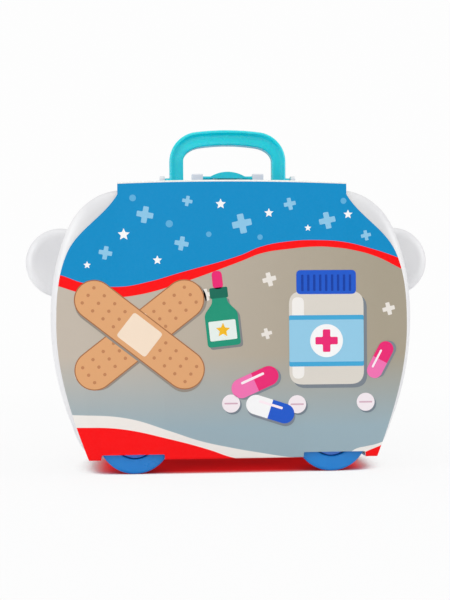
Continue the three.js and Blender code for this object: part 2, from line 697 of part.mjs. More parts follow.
// Centre lines of the stethoscope, seen from the front: two ear tubes and the hose.
function scopeCurves() {
  const point = (x, z) => new THREE.Vector3(x, toyDepth, z);
  const rise = scopeTop - scope.foot;
  const arm = (way) => new THREE.CatmullRomCurve3([
    [0.08, 0.06], [0.6, 0.14], [1, 0.42], [0.84, 0.8], [0.24, 1],
  ].map(([out, up]) => point(way * out * scopeHalf - scopeOffset, scope.foot + up * rise)));
  const hoseTop = scope.foot - scope.hub;
  const hoseFoot = chest.height + chest.radius;
  const hose = new THREE.CatmullRomCurve3([
    point(-scopeOffset, hoseTop + 2 * overrun), point(-scopeOffset, hoseTop - scope.hub),
    point(chest.offset, hoseFoot + scope.hub), point(chest.offset, hoseFoot + seat),
  ]);
  return { arms: [arm(-1), arm(1)], hose };
}

// Where each toy lies in the tray: capsules given by two ends, a radius and the toy's half depth.
function toyFootprints() {
  const tips = scopeCurves().arms.map((curve) => curve.getPoint(1));
  const standing = (x, low, high, radius, reach = radius) => (
    { x0: x, z0: low, x1: x, z1: high, radius, reach });
  const lying = (x, z, half, radius, reach = radius) => (
    { x0: x - half, z0: z, x1: x + half, z1: z, radius, reach });
  const s = syringe;
  return [
    lying((tips[0].x + tips[1].x) / 2, tips[0].z, (tips[1].x - tips[0].x) / 2, scope.tip),
    standing(syringeX, syringeFoot + s.floor, syringeTop, s.radius),
    standing(syringeX, syringeFoot - nozzle.length, syringeFoot, nozzle.radius + slip),
    lying(syringeX, syringeTop, s.flange - s.plate, s.plate + slip, s.radius + s.flangeLip),
    standing(syringeX, syringeTop, syringeTop + plungerRoom, plunger.thumb),
    standing(thermometerX, thermometerFoot, thermometerFoot + thermometer.length, thermometer.radius),
    standing(hammerX, hammerFoot, hammerTop, hammer.grip),
    lying(hammerX, hammerTop, headHalf - hammer.bevel - overrun, hammer.head),
    lying(bulbX, bulbHeight, bulb.half - bulb.radius + slip, bulb.radius),
    standing(chest.offset, chest.height, chest.height + overrun, chest.radius, chest.half),
    standing(-scopeOffset, scope.foot, scope.foot + overrun, scope.hub, scope.hubHalf),
  ];
}

// A flat capsule, grown by a margin, that runs along Y.
function capsule({ x0, z0, x1, z1, radius }, margin, from, to) {
  const turn = Math.atan2(z1 - z0, x1 - x0);
  const shape = new THREE.Shape();
  shape.absarc(x1, z1, radius + margin, turn - Math.PI / 2, turn + Math.PI / 2, false);
  shape.absarc(x0, z0, radius + margin, turn + Math.PI / 2, turn + 1.5 * Math.PI, false);
  return prismY(shape, from, to, capsuleChords);
}

// A round tube along a curve.
function tube(curve, radius) {
  const shape = new THREE.Shape(Array.from({ length: tubeSides }, (_, i) => {
    const turn = (i / tubeSides) * 2 * Math.PI;
    return new THREE.Vector2(radius * Math.cos(turn), radius * Math.sin(turn));
  }));
  const options = { steps: tubeSteps, extrudePath: curve, bevelEnabled: false };
  return solidOf(new THREE.ExtrudeGeometry(shape, options));
}

// A flat strip that follows a curve in X and Z, passes its ends by half its width and runs along Y.
function ribbon(curve, half, from, to) {
  const edges = [[], []];
  for (let i = 0; i <= tubeSteps; i += 1) {
    const at = curve.getPointAt(i / tubeSteps);
    const along = curve.getTangentAt(i / tubeSteps);
    const reach = i === 0 ? -half : i === tubeSteps ? half : 0;
    edges.forEach((edge, side) => edge.push(new THREE.Vector2(
      at.x + along.x * reach + (side ? -1 : 1) * along.z * half,
      at.z + along.z * reach - (side ? -1 : 1) * along.x * half,
    )));
  }
  return prismY(new THREE.Shape([...edges[0], ...edges[1].reverse()]), from, to);
}

// The tray is a plate with a sunk pocket for each toy and channels for the tubes.
function buildTray() {
  const floor = trayDepth + trayThickness;
  const toys = toyFootprints();
  const { arms, hose } = scopeCurves();
  const channel = scope.tube + pocketPlay;
  const channelFloor = toyDepth + channel;
  const plate = slab(inset(bodyOutline(), wall + draft * floor + slip), trayDepth, floor);
  const pockets = toys.map((toy) => capsule(toy, pocketWall, floor - bite,
    toyDepth + toy.reach + pocketWall));
  const channels = [...arms, hose].map((curve) => ribbon(curve, channel + trayThickness,
    floor - bite, channelFloor + trayThickness));
  return cut(unite(plate, ...pockets, ...channels),
    ...toys.map((toy) => capsule(toy, pocketPlay, 0, toyDepth + toy.reach + pocketPlay)),
    ...[...arms, hose].map((curve) => ribbon(curve, channel, 0, channelFloor)));
}

// Stands a solid that was turned about its own axis upright in the tray.
function upright(solid, x, z) {
  return solid.rotate([90, 0, 0]).translate([x, toyDepth, z]);
}

// Lays a solid that was turned about its own axis across the tray.
function level(solid, x, z) {
  return solid.rotate([0, 0, 90]).translate([x, toyDepth, z]);
}

function disc(radius, from, thickness, sides = 16) {
  return turned([[0, from], [radius, from], [radius, from + thickness], [0, from + thickness]], sides);
}

function addSyringe() {
  const s = syringe;
  const inside = s.radius - s.wall;
  const body = turned([
    [s.bore, -nozzle.length], [nozzle.radius - nozzle.taper, -nozzle.length], [nozzle.radius, -bite],
    [s.radius - s.bevel, 0], [s.radius, s.bevel], [s.radius, syringeLength], [inside, syringeLength],
    [inside, s.floor], [s.bore, s.floor - bite],
  ], 16);
  const wing = new THREE.Shape();
  wing.absellipse(0, 0, s.flange, s.radius + s.flangeLip, 0, 2 * Math.PI, false, 0);
  const flange = solidOf(extruded(wing, s.plate, 8).rotateX(-Math.PI / 2)
    .translate(0, syringeLength - s.plate, 0));
  const hole = disc(inside, syringeLength - s.plate - overrun, s.plate + 2 * overrun);
  addPiece('syringe_barrel', upright(unite(body, cut(flange, hole)), syringeX, syringeFoot), 'pink');

  const thumbFoot = syringeLength + plungerOut;
  const pistonFoot = s.floor + plungerOut;
  const height = thumbFoot - pistonFoot;
  const { arm, armThickness } = plunger;
  const arms = [[arm, armThickness], [armThickness, arm]].map(([across, deep]) => solidOf(
    new THREE.BoxGeometry(across, height, deep).translate(0, pistonFoot + height / 2 + bite, 0)));
  addPiece('syringe_plunger', upright(unite(disc(plunger.thumb, thumbFoot, plunger.plate),
    disc(inside - seat, pistonFoot, plunger.piston), ...arms), syringeX, syringeFoot), 'rose');
}

function addThermometer() {
  const t = thermometer;
  addPiece('thermometer', upright(turned([
    [0, 0], [t.tip - bite, bite], [t.tip, t.tip], [t.tip, t.tipLength], [t.radius, t.tipLength + t.neck],
    [t.radius, t.length - t.bevel], [t.radius - t.bevel, t.length], [0, t.length],
  ], 12), thermometerX, thermometerFoot), 'rose');
}

// The head of the hammer is pushed on to the end of its handle.
function addHammer() {
  const h = hammer;
  const socketDepth = h.waist / 2;
  const shaftEnd = hammerTop - hammerFoot - h.waist + socketDepth;
  const neckEnd = h.gripLength + h.neckLength;
  const shaft = turned([
    [0, -h.end], [h.grip - h.end, -h.end], [h.grip, 0], [h.grip, h.gripLength], [h.neck, neckEnd],
    [h.neck, shaftEnd], [0, shaftEnd],
  ], 12);
  const head = turned([
    [0, -headHalf], [h.head - h.bevel, -headHalf], [h.head, -headHalf + h.bevel], [h.waist, -h.grip],
    [h.waist, h.grip], [h.head, headHalf - h.bevel], [h.head - h.bevel, headHalf], [0, headHalf],
  ], 12);
  const socketFoot = hammerTop - hammerFoot - 2 * h.head;
  const socket = upright(disc(h.neck + seat, socketFoot, shaftEnd - socketFoot + seat, 12),
    hammerX, hammerFoot);
  addPiece('hammer_head', cut(level(head, hammerX, hammerTop), socket), 'rose');
  addPiece('hammer_handle', upright(shaft, hammerX, hammerFoot), 'pink');
}

function addBulb() {
  const b = bulb;
  addPiece('pump_bulb', level(turned([
    [0, -b.half], [b.neck - bite, -b.half], [b.neck, b.collar - b.half],
    [b.radius - b.collar, b.shoulder - b.half], [b.radius, b.belly - b.half], [b.radius, b.half - b.taper],
    [b.radius - b.collar, b.half - b.taper / 3], [b.nose, b.half - overrun], [0, b.half],
  ], 14), bulbX, bulbHeight), 'rose');
}

function addStethoscope() {
  const { arms, hose } = scopeCurves();
  const tips = arms.map((curve) => {
    const tip = curve.getPoint(1);
    return solidOf(new THREE.SphereGeometry(scope.tip, 8, 6).translate(tip.x, tip.y, tip.z));
  });
  const hub = (radius, half) => rodY(-scopeOffset, scope.foot, radius, toyDepth - half, toyDepth + half, 18);
  const radius = scope.hub - 2 * bite;
  addPiece('stethoscope_headset', unite(...arms.map((curve) => tube(curve, scope.tube)), ...tips,
    hub(radius, scope.hubHalf)), 'pink');
  const freeHose = cut(tube(hose, scope.hose), hub(radius + seat, scope.hubHalf + overrun));
  addPiece('stethoscope_hose', freeHose, 'hose');
  const c = chest;
  addPiece('stethoscope_chest_piece', turned([
    [0, -c.half], [c.radius - c.rim, -c.half], [c.radius, c.rim - c.half], [c.radius, c.half],
    [c.radius - c.rim, c.half], [c.radius - c.rim, c.half - c.dish], [0, c.half - c.dish],
  ], 18).translate([c.offset, toyDepth, c.height]), 'pink');
}

addPiece('front_shell', buildFrontShell(), 'shell');
addPiece('rear_shell', buildRearShell(), 'shell');
addPiece('handle', buildHandle(), 'teal');
addPiece('latch', buildLatch(), 'teal');
addPiece('sleeve_front', buildSleeve(-1, {
  half: bracketNear + bracketWidth + windowPlay, deep: latchDepth + bracketDepth / 2 + windowPlay,
}), 'card');
addPiece('sleeve_rear', buildSleeve(1, {
  half: lugNear + lugThickness + windowPlay, deep: Math.max(pivotDepth + lugBase / 2, latchTip) + windowPlay,
}), 'card');
addPiece('lid_card', buildLidCard(), 'panel');
addPiece('inner_tray', buildTray(), 'tray');
for (const [hand, x] of [['left', -hingeOffset], ['right', hingeOffset]]) {
  const reach = knuckleLength / 2 + sideKnuckle;
  addPiece(`hinge_pin_${hand}`, rodX(0, hingeHeight, hingePinRadius, x - reach, x + reach, 10), 'steel');
}
for (const [end, side] of [['front', -1], ['rear', 1]]) {
  for (const [hand, x] of [['left', -wheelOffset], ['right', wheelOffset]]) {
    const corner = new THREE.Group();
    corner.position.set(x, side * wheelBack, wheelCentre);
    corner.rotation.z = side > 0 ? 0 : Math.PI;
    model.add(corner);
    addPiece(`wheel_${end}_${hand}`, buildWheel(), 'wheel', corner);
    addPiece(`hub_cap_${end}_${hand}`, buildHubCap(), 'cap', corner);
    addPiece(`wheel_screw_${end}_${hand}`, buildWheelScrew(), 'steel', corner);
  }
}
addSyringe();
addThermometer();
addHammer();
addBulb();
addStethoscope();

export default model;
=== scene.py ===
"""Dresses the toy doctor case: smooth mouldings, folded card sleeve, wheels and toy instruments.

Every length in the classes is in millimetres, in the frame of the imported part: X to the right,
Y away from the front, Z up, with the origin on the floor below the plane where the shells meet.
"""

from __future__ import annotations

import logging
import math
from dataclasses import dataclass, field
from enum import Enum
from typing import Sequence

import bmesh
import bpy
import numpy as np
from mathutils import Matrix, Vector


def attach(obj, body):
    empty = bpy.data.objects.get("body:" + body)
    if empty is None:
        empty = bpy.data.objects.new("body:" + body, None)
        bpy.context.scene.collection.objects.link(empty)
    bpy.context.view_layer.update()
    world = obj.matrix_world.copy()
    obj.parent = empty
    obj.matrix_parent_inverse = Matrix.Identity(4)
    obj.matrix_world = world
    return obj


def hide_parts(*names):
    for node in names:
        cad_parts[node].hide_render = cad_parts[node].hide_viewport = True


log = logging.getLogger("doctor_case")
Array = np.ndarray
Colour = tuple[int, int, int]

METRE = 0.001          # metres in a millimetre
SEAT = 0.3             # gap between pieces that rest on each other
HANDLE_SHIFT = 1.2     # how far the handle and its lugs stand to the right of the middle
BEYOND = 130.0         # further out than any wall of the case
PIN_BORE = 1.6         # radius of the bores for the hinge pins and the latch pins
TAU = 2 * math.pi


class Side(Enum):
    """The two halves of the case, as the sign of their depth."""

    FRONT = -1
    REAR = 1

    @property
    def end(self) -> str:
        """The word for this half in the names of its pieces."""
        return self.name.lower()

    @property
    def body(self) -> str:
        """The body that this half rides on."""
        return "lid" if self is Side.FRONT else "base"


class Axis(Enum):
    """The order in which a local (across, up, along) triple becomes x, y, z."""

    X = (2, 0, 1)
    Y = (0, 2, 1)
    Z = (0, 1, 2)


class Operation(Enum):
    """How one closed mesh works on another."""

    JOIN = "UNION"
    CUT = "DIFFERENCE"
    KEEP = "INTERSECT"


# Curves and closed meshes


@dataclass
class Solid:
    """A closed mesh: corners as rows of x, y, z in millimetres, and faces as lists of corners."""

    points: Array
    faces: list[list[int]]

    def moved(self, x: float = 0.0, y: float = 0.0, z: float = 0.0) -> Solid:
        """Returns the same mesh in another place."""
        return Solid(self.points + np.array([x, y, z]), self.faces)


def merged(solids: Sequence[Solid]) -> Solid:
    """Lists several meshes as one, without joining their surfaces.

    Args:
        solids: The meshes.

    Returns:
        One mesh that holds the corners and faces of all.
    """
    starts = np.cumsum([0] + [len(s.points) for s in solids])
    faces = [[corner + start for corner in face]
             for s, start in zip(solids, starts.tolist()) for face in s.faces]
    return Solid(np.concatenate([s.points for s in solids]), faces)


def placed(across: Array, up: Array, along: Array, axis: Axis) -> Array:
    """Stacks three local coordinates into points, turned to run along an axis.

    Args:
        across: First coordinate of the section.
        up: Second coordinate of the section.
        along: Place along the axis.
        axis: The axis that the third coordinate follows.

    Returns:
        Points with x, y and z in the last dimension.
    """
    local = np.broadcast_arrays(across, up, along)
    return np.stack([local[i] for i in axis.value], axis=-1).astype(float)


def loft(rings: Array) -> Solid:
    """Skins rings of equal length: corner (r, c) joins (r, c+1), (r+1, c+1) and (r+1, c).

    Args:
        rings: Corners as (ring, corner, xyz).

    Returns:
        A closed mesh with a flat face at each end.
    """
    count, length = rings.shape[:2]
    row, col = np.meshgrid(np.arange(count - 1) * length, np.arange(length), indexing="ij")
    after = (col + 1) % length
    quads = np.stack([row + col, row + after, row + length + after, row + length + col], axis=-1)
    ends = np.arange(length)
    caps = [ends[::-1].tolist(), (ends + (count - 1) * length).tolist()]
    return Solid(rings.reshape(-1, 3), quads.reshape(-1, 4).tolist() + caps)


def revolve(profile: Array, axis: Axis = Axis.Y, sides: int = 96, closed: bool = False) -> Solid:
    """Turns a profile about an axis: point (r, a) goes to (r cos t, r sin t, a).

    Args:
        profile: Rows of radius and place along the axis.
        axis: The axis of revolution, through the origin.
        sides: Number of steps in a full turn.
        closed: Whether the last row joins the first, as on a ring with a bore.

    Returns:
        A closed mesh about the axis.
    """
    turn = np.arange(sides) * TAU / sides
    radius, along = profile[:, :1], profile[:, 1:]
    points = placed(radius * np.cos(turn), radius * np.sin(turn), along + 0 * turn, axis)
    rows = len(profile)
    row, col = np.meshgrid(np.arange(rows if closed else rows - 1), np.arange(sides), indexing="ij")
    below, after = (row + 1) % rows, (col + 1) % sides
    quads = np.stack([row * sides + col, row * sides + after, below * sides + after,
                      below * sides + col], axis=-1)
    return Solid(points.reshape(-1, 3), quads.reshape(-1, 4).tolist())


def softened(outline: Array, radius: float, steps: int = 5, closed: bool = True) -> Array:
    """Rounds the corners: each corner P becomes the parabola (1-t)^2 A + 2t(1-t) P + t^2 B.

    Args:
        outline: Rows of two coordinates.
        radius: How far along both edges A and B lie from P.
        steps: Points in each rounded corner.
        closed: Whether the outline is a loop; an open one keeps its two ends.

    Returns:
        The rounded outline.
    """
    def towards(other: Array) -> Array:
        """Points on the edges to the neighbours, at most 0.45 of an edge away."""
        way = other - outline
        length = np.linalg.norm(way, axis=1, keepdims=True)
        return outline + way * np.minimum(radius / np.maximum(length, 1e-9), 0.45)

    before, after = towards(np.roll(outline, 1, axis=0)), towards(np.roll(outline, -1, axis=0))
    t = np.linspace(0, 1, steps)[None, :, None]
    bows = ((1 - t) ** 2 * before[:, None] + 2 * t * (1 - t) * outline[:, None]
            + t ** 2 * after[:, None])
    if closed:
        return bows.reshape(-1, 2)
    return np.concatenate([outline[:1], bows[1:-1].reshape(-1, 2), outline[-1:]])


def bend(start: Sequence[float], end: Sequence[float], leave: float, arrive: float,
         count: int) -> Array:
    """A cubic that turns between two headings like an arc: handle = chord 2/3 tan(a/4) / sin(a/2).

    Args:
        start: First point.
        end: Last point.
        leave: Heading at the first point, in degrees.
        arrive: Heading at the last point, in degrees.
        count: Number of points, both ends included.

    Returns:
        The points along the curve.
    """
    a, b = np.asarray(start, float), np.asarray(end, float)
    turn = math.radians(abs(arrive - leave))
    handle = np.linalg.norm(b - a) * (2 / 3) * math.tan(turn / 4) / math.sin(turn / 2)
    out, into = math.radians(leave), math.radians(arrive)
    p = a + handle * np.array([math.cos(out), math.sin(out)])
    q = b - handle * np.array([math.cos(into), math.sin(into)])
    t = np.linspace(0, 1, count)[:, None]
    return (1 - t) ** 3 * a + 3 * t * (1 - t) ** 2 * p + 3 * t ** 2 * (1 - t) * q + t ** 3 * b


def mirrored(right: Array) -> Array:
    """Adds the left half to the right half of an outline that starts and ends on x = 0."""
    return np.concatenate([right, (right * [-1, 1])[-2:0:-1]])


def inset(outline: Array, distance: float | Array) -> Array:
    """Moves each point of an anticlockwise loop inwards along its normal by a distance."""
    along = np.roll(outline, -1, axis=0) - np.roll(outline, 1, axis=0)
    along = along / np.linalg.norm(along, axis=1, keepdims=True)
    return outline + np.stack([-along[:, 1], along[:, 0]], axis=1) * distance


def circle(x: float, y: float, radius: float, sides: int = 96) -> Array:
    """An anticlockwise circle about a point."""
    turn = np.arange(sides) * TAU / sides
    return np.stack([x + radius * np.cos(turn), y + radius * np.sin(turn)], axis=1)


def span(sign: int, near: float, far: float) -> list[float]:
    """Two distances from the middle as places on one side of it, in rising order."""
    return sorted((sign * near, sign * far))


def box_outline(x0: float, x1: float, y0: float, y1: float) -> Array:
    """An anticlockwise rectangle."""
    return np.array([[x0, y0], [x1, y0], [x1, y1], [x0, y1]], float)


def stadium(start: Sequence[float], end: Sequence[float], radius: float, steps: int = 24) -> Array:
    """A loop at one distance round a straight line between two points."""
    a, b = np.asarray(start, float), np.asarray(end, float)
    turn = math.atan2(*(b - a)[::-1])
    arc = turn + np.linspace(-math.pi / 2, math.pi / 2, steps)
    ray = np.stack([np.cos(arc), np.sin(arc)], axis=1) * radius
    return np.concatenate([b + ray, a - ray])


def prism(outline: Array, axis: Axis, start: float, end: float, edge: float = 0.0,
          steps: int = 4) -> Solid:
    """Carries a loop along an axis; each end turns in over a quarter round of the edge radius.

    Args:
        outline: Anticlockwise loop in the two other axes.
        axis: The axis that the prism follows.
        start: Where it starts along the axis.
        end: Where it ends.
        edge: Radius of the rounding at both ends.
        steps: Rings in each rounding.

    Returns:
        A closed mesh.
    """
    if not edge:
        rings = [(start, 0.0), (end, 0.0)]
    else:
        turn = np.linspace(0, math.pi / 2, steps)
        near = [(start + edge * (1 - math.cos(a)), edge * (1 - math.sin(a))) for a in turn]
        rings = near + [(start + end - at, inward) for at, inward in near[::-1]]
    loops = [inset(outline, inward) for _, inward in rings]
    return loft(np.stack([placed(loop[:, 0], loop[:, 1], np.array(at), axis)
                          for loop, (at, _) in zip(loops, rings)]))


def brick(x0: float, x1: float, y0: float, y1: float, z0: float, z1: float) -> Solid:
    """A box between two corners."""
    return prism(box_outline(x0, x1, z0, z1), Axis.Y, y0, y1)


def rod(axis: Axis, across: float, up: float, radius: float, start: float, end: float,
        edge: float = 0.0, sides: int = 64) -> Solid:
    """A round rod along an axis, with rounded ends where an edge is given."""
    return prism(circle(across, up, radius, sides), axis, start, end, edge)


def tube(path: Array, radius: float | Array, sides: int = 24, domes: bool = True) -> Solid:
    """Carries a circle along a path in X and Z: ring = P + r (cos t N + sin t Y).

    P is a point of the path and N is the direction across the path there.

    Args:
        path: Rows of x, y, z with y the same throughout.
        radius: One radius, or one for each point.
        sides: Corners in each ring.
        domes: Whether both ends close in a half sphere.

    Returns:
        A closed mesh.
    """
    along = np.gradient(path, axis=0)
    along = along / np.linalg.norm(along, axis=1, keepdims=True)
    radii = np.broadcast_to(np.asarray(radius, float), len(path)).copy()
    if domes:
        turn = np.linspace(0.12, math.pi / 2, 7)[:-1]
        head = path[0] - along[0] * (radii[0] * np.cos(turn))[:, None]
        tail = path[-1] + along[-1] * (radii[-1] * np.cos(turn[::-1]))[:, None]
        path = np.concatenate([head, path, tail])
        along = np.concatenate([np.repeat(along[:1], len(turn), 0), along,
                                np.repeat(along[-1:], len(turn), 0)])
        radii = np.concatenate([radii[0] * np.sin(turn), radii, radii[-1] * np.sin(turn[::-1])])
    normal = np.stack([-along[:, 2], 0 * along[:, 0], along[:, 0]], axis=1)
    turn = np.arange(sides) * TAU / sides
    ring = (normal[:, None] * np.cos(turn)[None, :, None]
            + np.array([0, 1, 0]) * np.sin(turn)[None, :, None]) * radii[:, None, None]
    return loft(path[:, None] + ring)


def threaded(points: Array, steps: int = 20) -> Array:
    """A centripetal Catmull-Rom curve through points, as cubics between each pair of them.

    Args:
        points: Rows of x, y, z.
        steps: Points in each stretch.

    Returns:
        The points along the curve.
    """
    p = np.concatenate([2 * points[:1] - points[1:2], points, 2 * points[-1:] - points[-2:-1]])
    gap = np.linalg.norm(np.diff(p, axis=0), axis=1, keepdims=True) ** 0.5
    before, here, after = gap[:-2], gap[1:-1], gap[2:]
    a, b, c, d = p[:-3], p[1:-2], p[2:-1], p[3:]
    leave = ((b - a) / before - (c - a) / (before + here) + (c - b) / here) * here
    arrive = ((c - b) / here - (d - b) / (here + after) + (d - c) / after) * here
    t = np.linspace(0, 1, steps, endpoint=False)[None, :, None]
    b, c, leave, arrive = b[:, None], c[:, None], leave[:, None], arrive[:, None]
    curve = (b + leave * t + (-3 * b + 3 * c - 2 * leave - arrive) * t ** 2
             + (2 * b - 2 * c + leave + arrive) * t ** 3)
    return np.concatenate([curve.reshape(-1, 3), points[-1:]])


def build(name: str, solid: Solid, whole: bool = False) -> bpy.types.Object:
    """Makes a mesh object of a solid, with doubles merged and every face pointing outwards.

    Faces of more than four corners are cut into triangles, so that a boolean never leaves a ring
    as one face.

    Args:
        name: Name of the object.
        solid: Its corners and faces in millimetres.
        whole: Whether faces of many corners stay whole.

    Returns:
        The object, at the origin, in metres.
    """
    mesh = bpy.data.meshes.new(name)
    mesh.from_pydata((solid.points * METRE).tolist(), [], solid.faces)
    work = bmesh.new()
    work.from_mesh(mesh)
    bmesh.ops.remove_doubles(work, verts=work.verts, dist=1e-6)
    bmesh.ops.recalc_face_normals(work, faces=work.faces)
    if not whole:
        bmesh.ops.triangulate(work, faces=[face for face in work.faces if len(face.verts) > 4])
    work.to_mesh(mesh)
    work.free()
    obj = bpy.data.objects.new(name, mesh)
    bpy.context.scene.collection.objects.link(obj)
    return obj


def face_rows(mesh: bpy.types.Mesh, key: str) -> Array:
    """Reads the normal or the center of every face as rows of three."""
    values = np.empty(len(mesh.polygons) * 3, np.float32)
    mesh.polygons.foreach_get(key, values)
    return values.reshape(-1, 3)


def mark_printed(mesh: bpy.types.Mesh, printed: Array) -> None:
    """Keeps in the attribute "printed" which faces carry the print."""
    attribute = mesh.attributes.new("printed", "FLOAT", "FACE")
    attribute.data.foreach_set("value", printed.astype(np.float32))


class Workpiece:
    """A mesh object that closed solids are joined to, cut from or kept within."""

    def __init__(self, name: str, solid: Solid) -> None:
        """Starts from one closed solid."""
        self.obj = build(name, solid)
        self.tools: list[bpy.types.Object] = []

    def _apply(self, operation: Operation, others: Sequence[Solid | Workpiece]) -> Workpiece:
        """Adds one boolean for each of the other solids."""
        for other in others:
            tool = other.settled() if isinstance(other, Workpiece) else build("tool", other)
            modifier = self.obj.modifiers.new(operation.name, "BOOLEAN")
            modifier.operation = operation.value
            modifier.solver = "MANIFOLD"
            modifier.object = tool
            self.tools.append(tool)
        return self

    def join(self, *others: Solid | Workpiece) -> Workpiece:
        """Joins other solids to this one."""
        return self._apply(Operation.JOIN, others)

    def cut(self, *others: Solid | Workpiece) -> Workpiece:
        """Cuts other solids out of this one."""
        return self._apply(Operation.CUT, others)

    def keep(self, *others: Solid | Workpiece) -> Workpiece:
        """Keeps only what lies inside the others."""
        return self._apply(Operation.KEEP, others)

    def _bake(self) -> None:
        """Puts what the modifiers give in the place of the mesh."""
        graph = bpy.context.evaluated_depsgraph_get()
        mesh = bpy.data.meshes.new_from_object(self.obj.evaluated_get(graph))
        self.obj.modifiers.clear()
        self.obj.data = mesh

    def settled(self) -> bpy.types.Object:
        """Applies what has been added so far and deletes the tools.

        Returns:
            The object, without modifiers.
        """
        if self.tools:
            self._bake()
            for tool in self.tools:
                bpy.data.objects.remove(tool)
            self.tools = []
        return self.obj

    def finished(self, bevel: float = 0.0, crease: float = 35.0) -> bpy.types.Object:
        """Applies everything, rounds the sharp edges a little and shades the rest smooth.

        Args:
            bevel: Radius of the rounding, or 0 for none.
            crease: Edges that turn by more degrees than this stay sharp in the shading.

        Returns:
            The object.
        """
        obj = self.settled()
        if bevel:
            modifier = obj.modifiers.new("soft_edges", "BEVEL")
            modifier.width = bevel * METRE
            modifier.segments = 2
            modifier.limit_method = "ANGLE"
            modifier.angle_limit = math.radians(crease)
            modifier.use_clamp_overlap = True
            self._bake()
        obj.data.shade_smooth()
        obj.data.set_sharp_from_angle(angle=math.radians(crease))
        return obj


# Finishes


def linear(colour: Colour) -> tuple[float, float, float, float]:
    """Turns a display colour of 0 to 255 into the linear one that a shader takes."""
    s = np.asarray(colour, float) / 255
    value = np.where(s <= 0.04045, s / 12.92, ((s + 0.055) / 1.055) ** 2.4)
    return (*value.tolist(), 1.0)


class Nodes:
    """A new material with one Principled shader, and short ways to add nodes to it."""

    def __init__(self, name: str) -> None:
        """Starts a material whose Object coordinates are at hand."""
        self.material = bpy.data.materials.new(name)
        self.material.use_nodes = True
        self.tree = self.material.node_tree
        self.shader = self.tree.nodes["Principled BSDF"]
        self.place = self.add("ShaderNodeTexCoord").outputs["Object"]

    def add(self, kind: str, inputs: dict[str | int, object] | None = None,
            **settings: object) -> bpy.types.Node:
        """Adds a node.

        Args:
            kind: Blender's name for the node.
            inputs: Values or linked sockets by input name or number.
            settings: Other settings of the node.

        Returns:
            The node.
        """
        node = self.tree.nodes.new(kind)
        for key, value in settings.items():
            setattr(node, key, value)
        for key, value in (inputs or {}).items():
            self.feed(node, key, value)
        return node

    def feed(self, node: bpy.types.Node, key: str | int, value: object) -> None:
        """Links a socket to an input, or sets the input's own value."""
        if isinstance(value, bpy.types.NodeSocket):
            self.tree.links.new(value, node.inputs[key])
        else:
            node.inputs[key].default_value = value

    def math(self, operation: str, a: object, b: object = 0.0) -> bpy.types.NodeSocket:
        """Adds a Math node and returns its result."""
        return self.add("ShaderNodeMath", {0: a, 1: b}, operation=operation).outputs[0]

    def noise(self, scale: float, detail: float = 2.0) -> bpy.types.NodeSocket:
        """Adds noise of so many periods to the metre and returns its value."""
        return self.add("ShaderNodeTexNoise", {"Vector": self.place, "Scale": scale,
                                               "Detail": detail, "Roughness": 0.5}).outputs[0]

    def spread(self, value: bpy.types.NodeSocket, low: float, high: float,
               from_low: float = 0.3, from_high: float = 0.7) -> bpy.types.NodeSocket:
        """Carries a value from one range to another, without passing its ends."""
        return self.add("ShaderNodeMapRange", {
            "Value": value, "From Min": from_low, "From Max": from_high,
            "To Min": low, "To Max": high}).outputs[0]

    def mix(self, share: object, a: object, b: object) -> bpy.types.NodeSocket:
        """Mixes two colours and returns the mixture."""
        node = self.add("ShaderNodeMix", data_type="RGBA")
        self.feed(node, 0, share)
        self.feed(node, 6, a)
        self.feed(node, 7, b)
        return node.outputs[2]

    def bump(self, height: bpy.types.NodeSocket, depth: float,
             before: bpy.types.NodeSocket | None = None) -> bpy.types.NodeSocket:
        """Adds a bump of a depth in metres on top of another and returns the normal."""
        inputs: dict[str | int, object] = {"Height": height, "Distance": depth, "Strength": 1.0}
        if before is not None:
            inputs["Normal"] = before
        return self.add("ShaderNodeBump", inputs).outputs[0]

    def mottled(self, ink: object) -> bpy.types.NodeSocket:
        """Lets a trace of the white laminate through an ink."""
        share = self.spread(self.noise(620.0, 3.0), 0.0, 0.004)
        return self.mix(share, ink, linear(LAMINATE))

    def tooth(self) -> bpy.types.NodeSocket:
        """The normal of laminated card: a slow warp under a fine paper tooth."""
        warp = self.bump(self.noise(16.0, 1.0), 0.0005)
        return self.bump(self.noise(1500.0, 3.0), 0.000015, warp)

    def shade(self, **inputs: object) -> bpy.types.Material:
        """Feeds the shader's own inputs, with _ for a space, and returns the material."""
        for key, value in inputs.items():
            self.feed(self.shader, key.replace("_", " "), value)
        return self.material


@dataclass(frozen=True)
class Moulded:
    """Injection-moulded plastic: faint clouds in the colour, a fine spark texture, soft gloss."""

    name: str
    colour: Colour
    cloud: Colour
    roughness: float = 0.34
    grain: float = 2600.0
    grain_depth: float = 0.00002
    glow: float = 0.0

    def material(self) -> bpy.types.Material:
        """Builds the plastic.

        Returns:
            A procedural material on Object coordinates.
        """
        nodes = Nodes(self.name)
        clouds = nodes.spread(nodes.noise(26.0, 3.0), 0.0, 1.0, 0.35, 0.65)
        colour = nodes.mix(clouds, linear(self.colour), linear(self.cloud))
        gloss = nodes.spread(nodes.noise(70.0, 4.0), self.roughness - 0.05,
                             self.roughness + 0.06)
        waves = nodes.bump(nodes.noise(34.0, 1.0), 0.00012)
        grain = nodes.bump(nodes.noise(self.grain, 2.0), self.grain_depth, waves)
        if self.glow:
            nodes.shade(Subsurface_Weight=self.glow, Subsurface_Scale=0.004)
        return nodes.shade(Base_Color=colour, Roughness=gloss, Normal=grain)


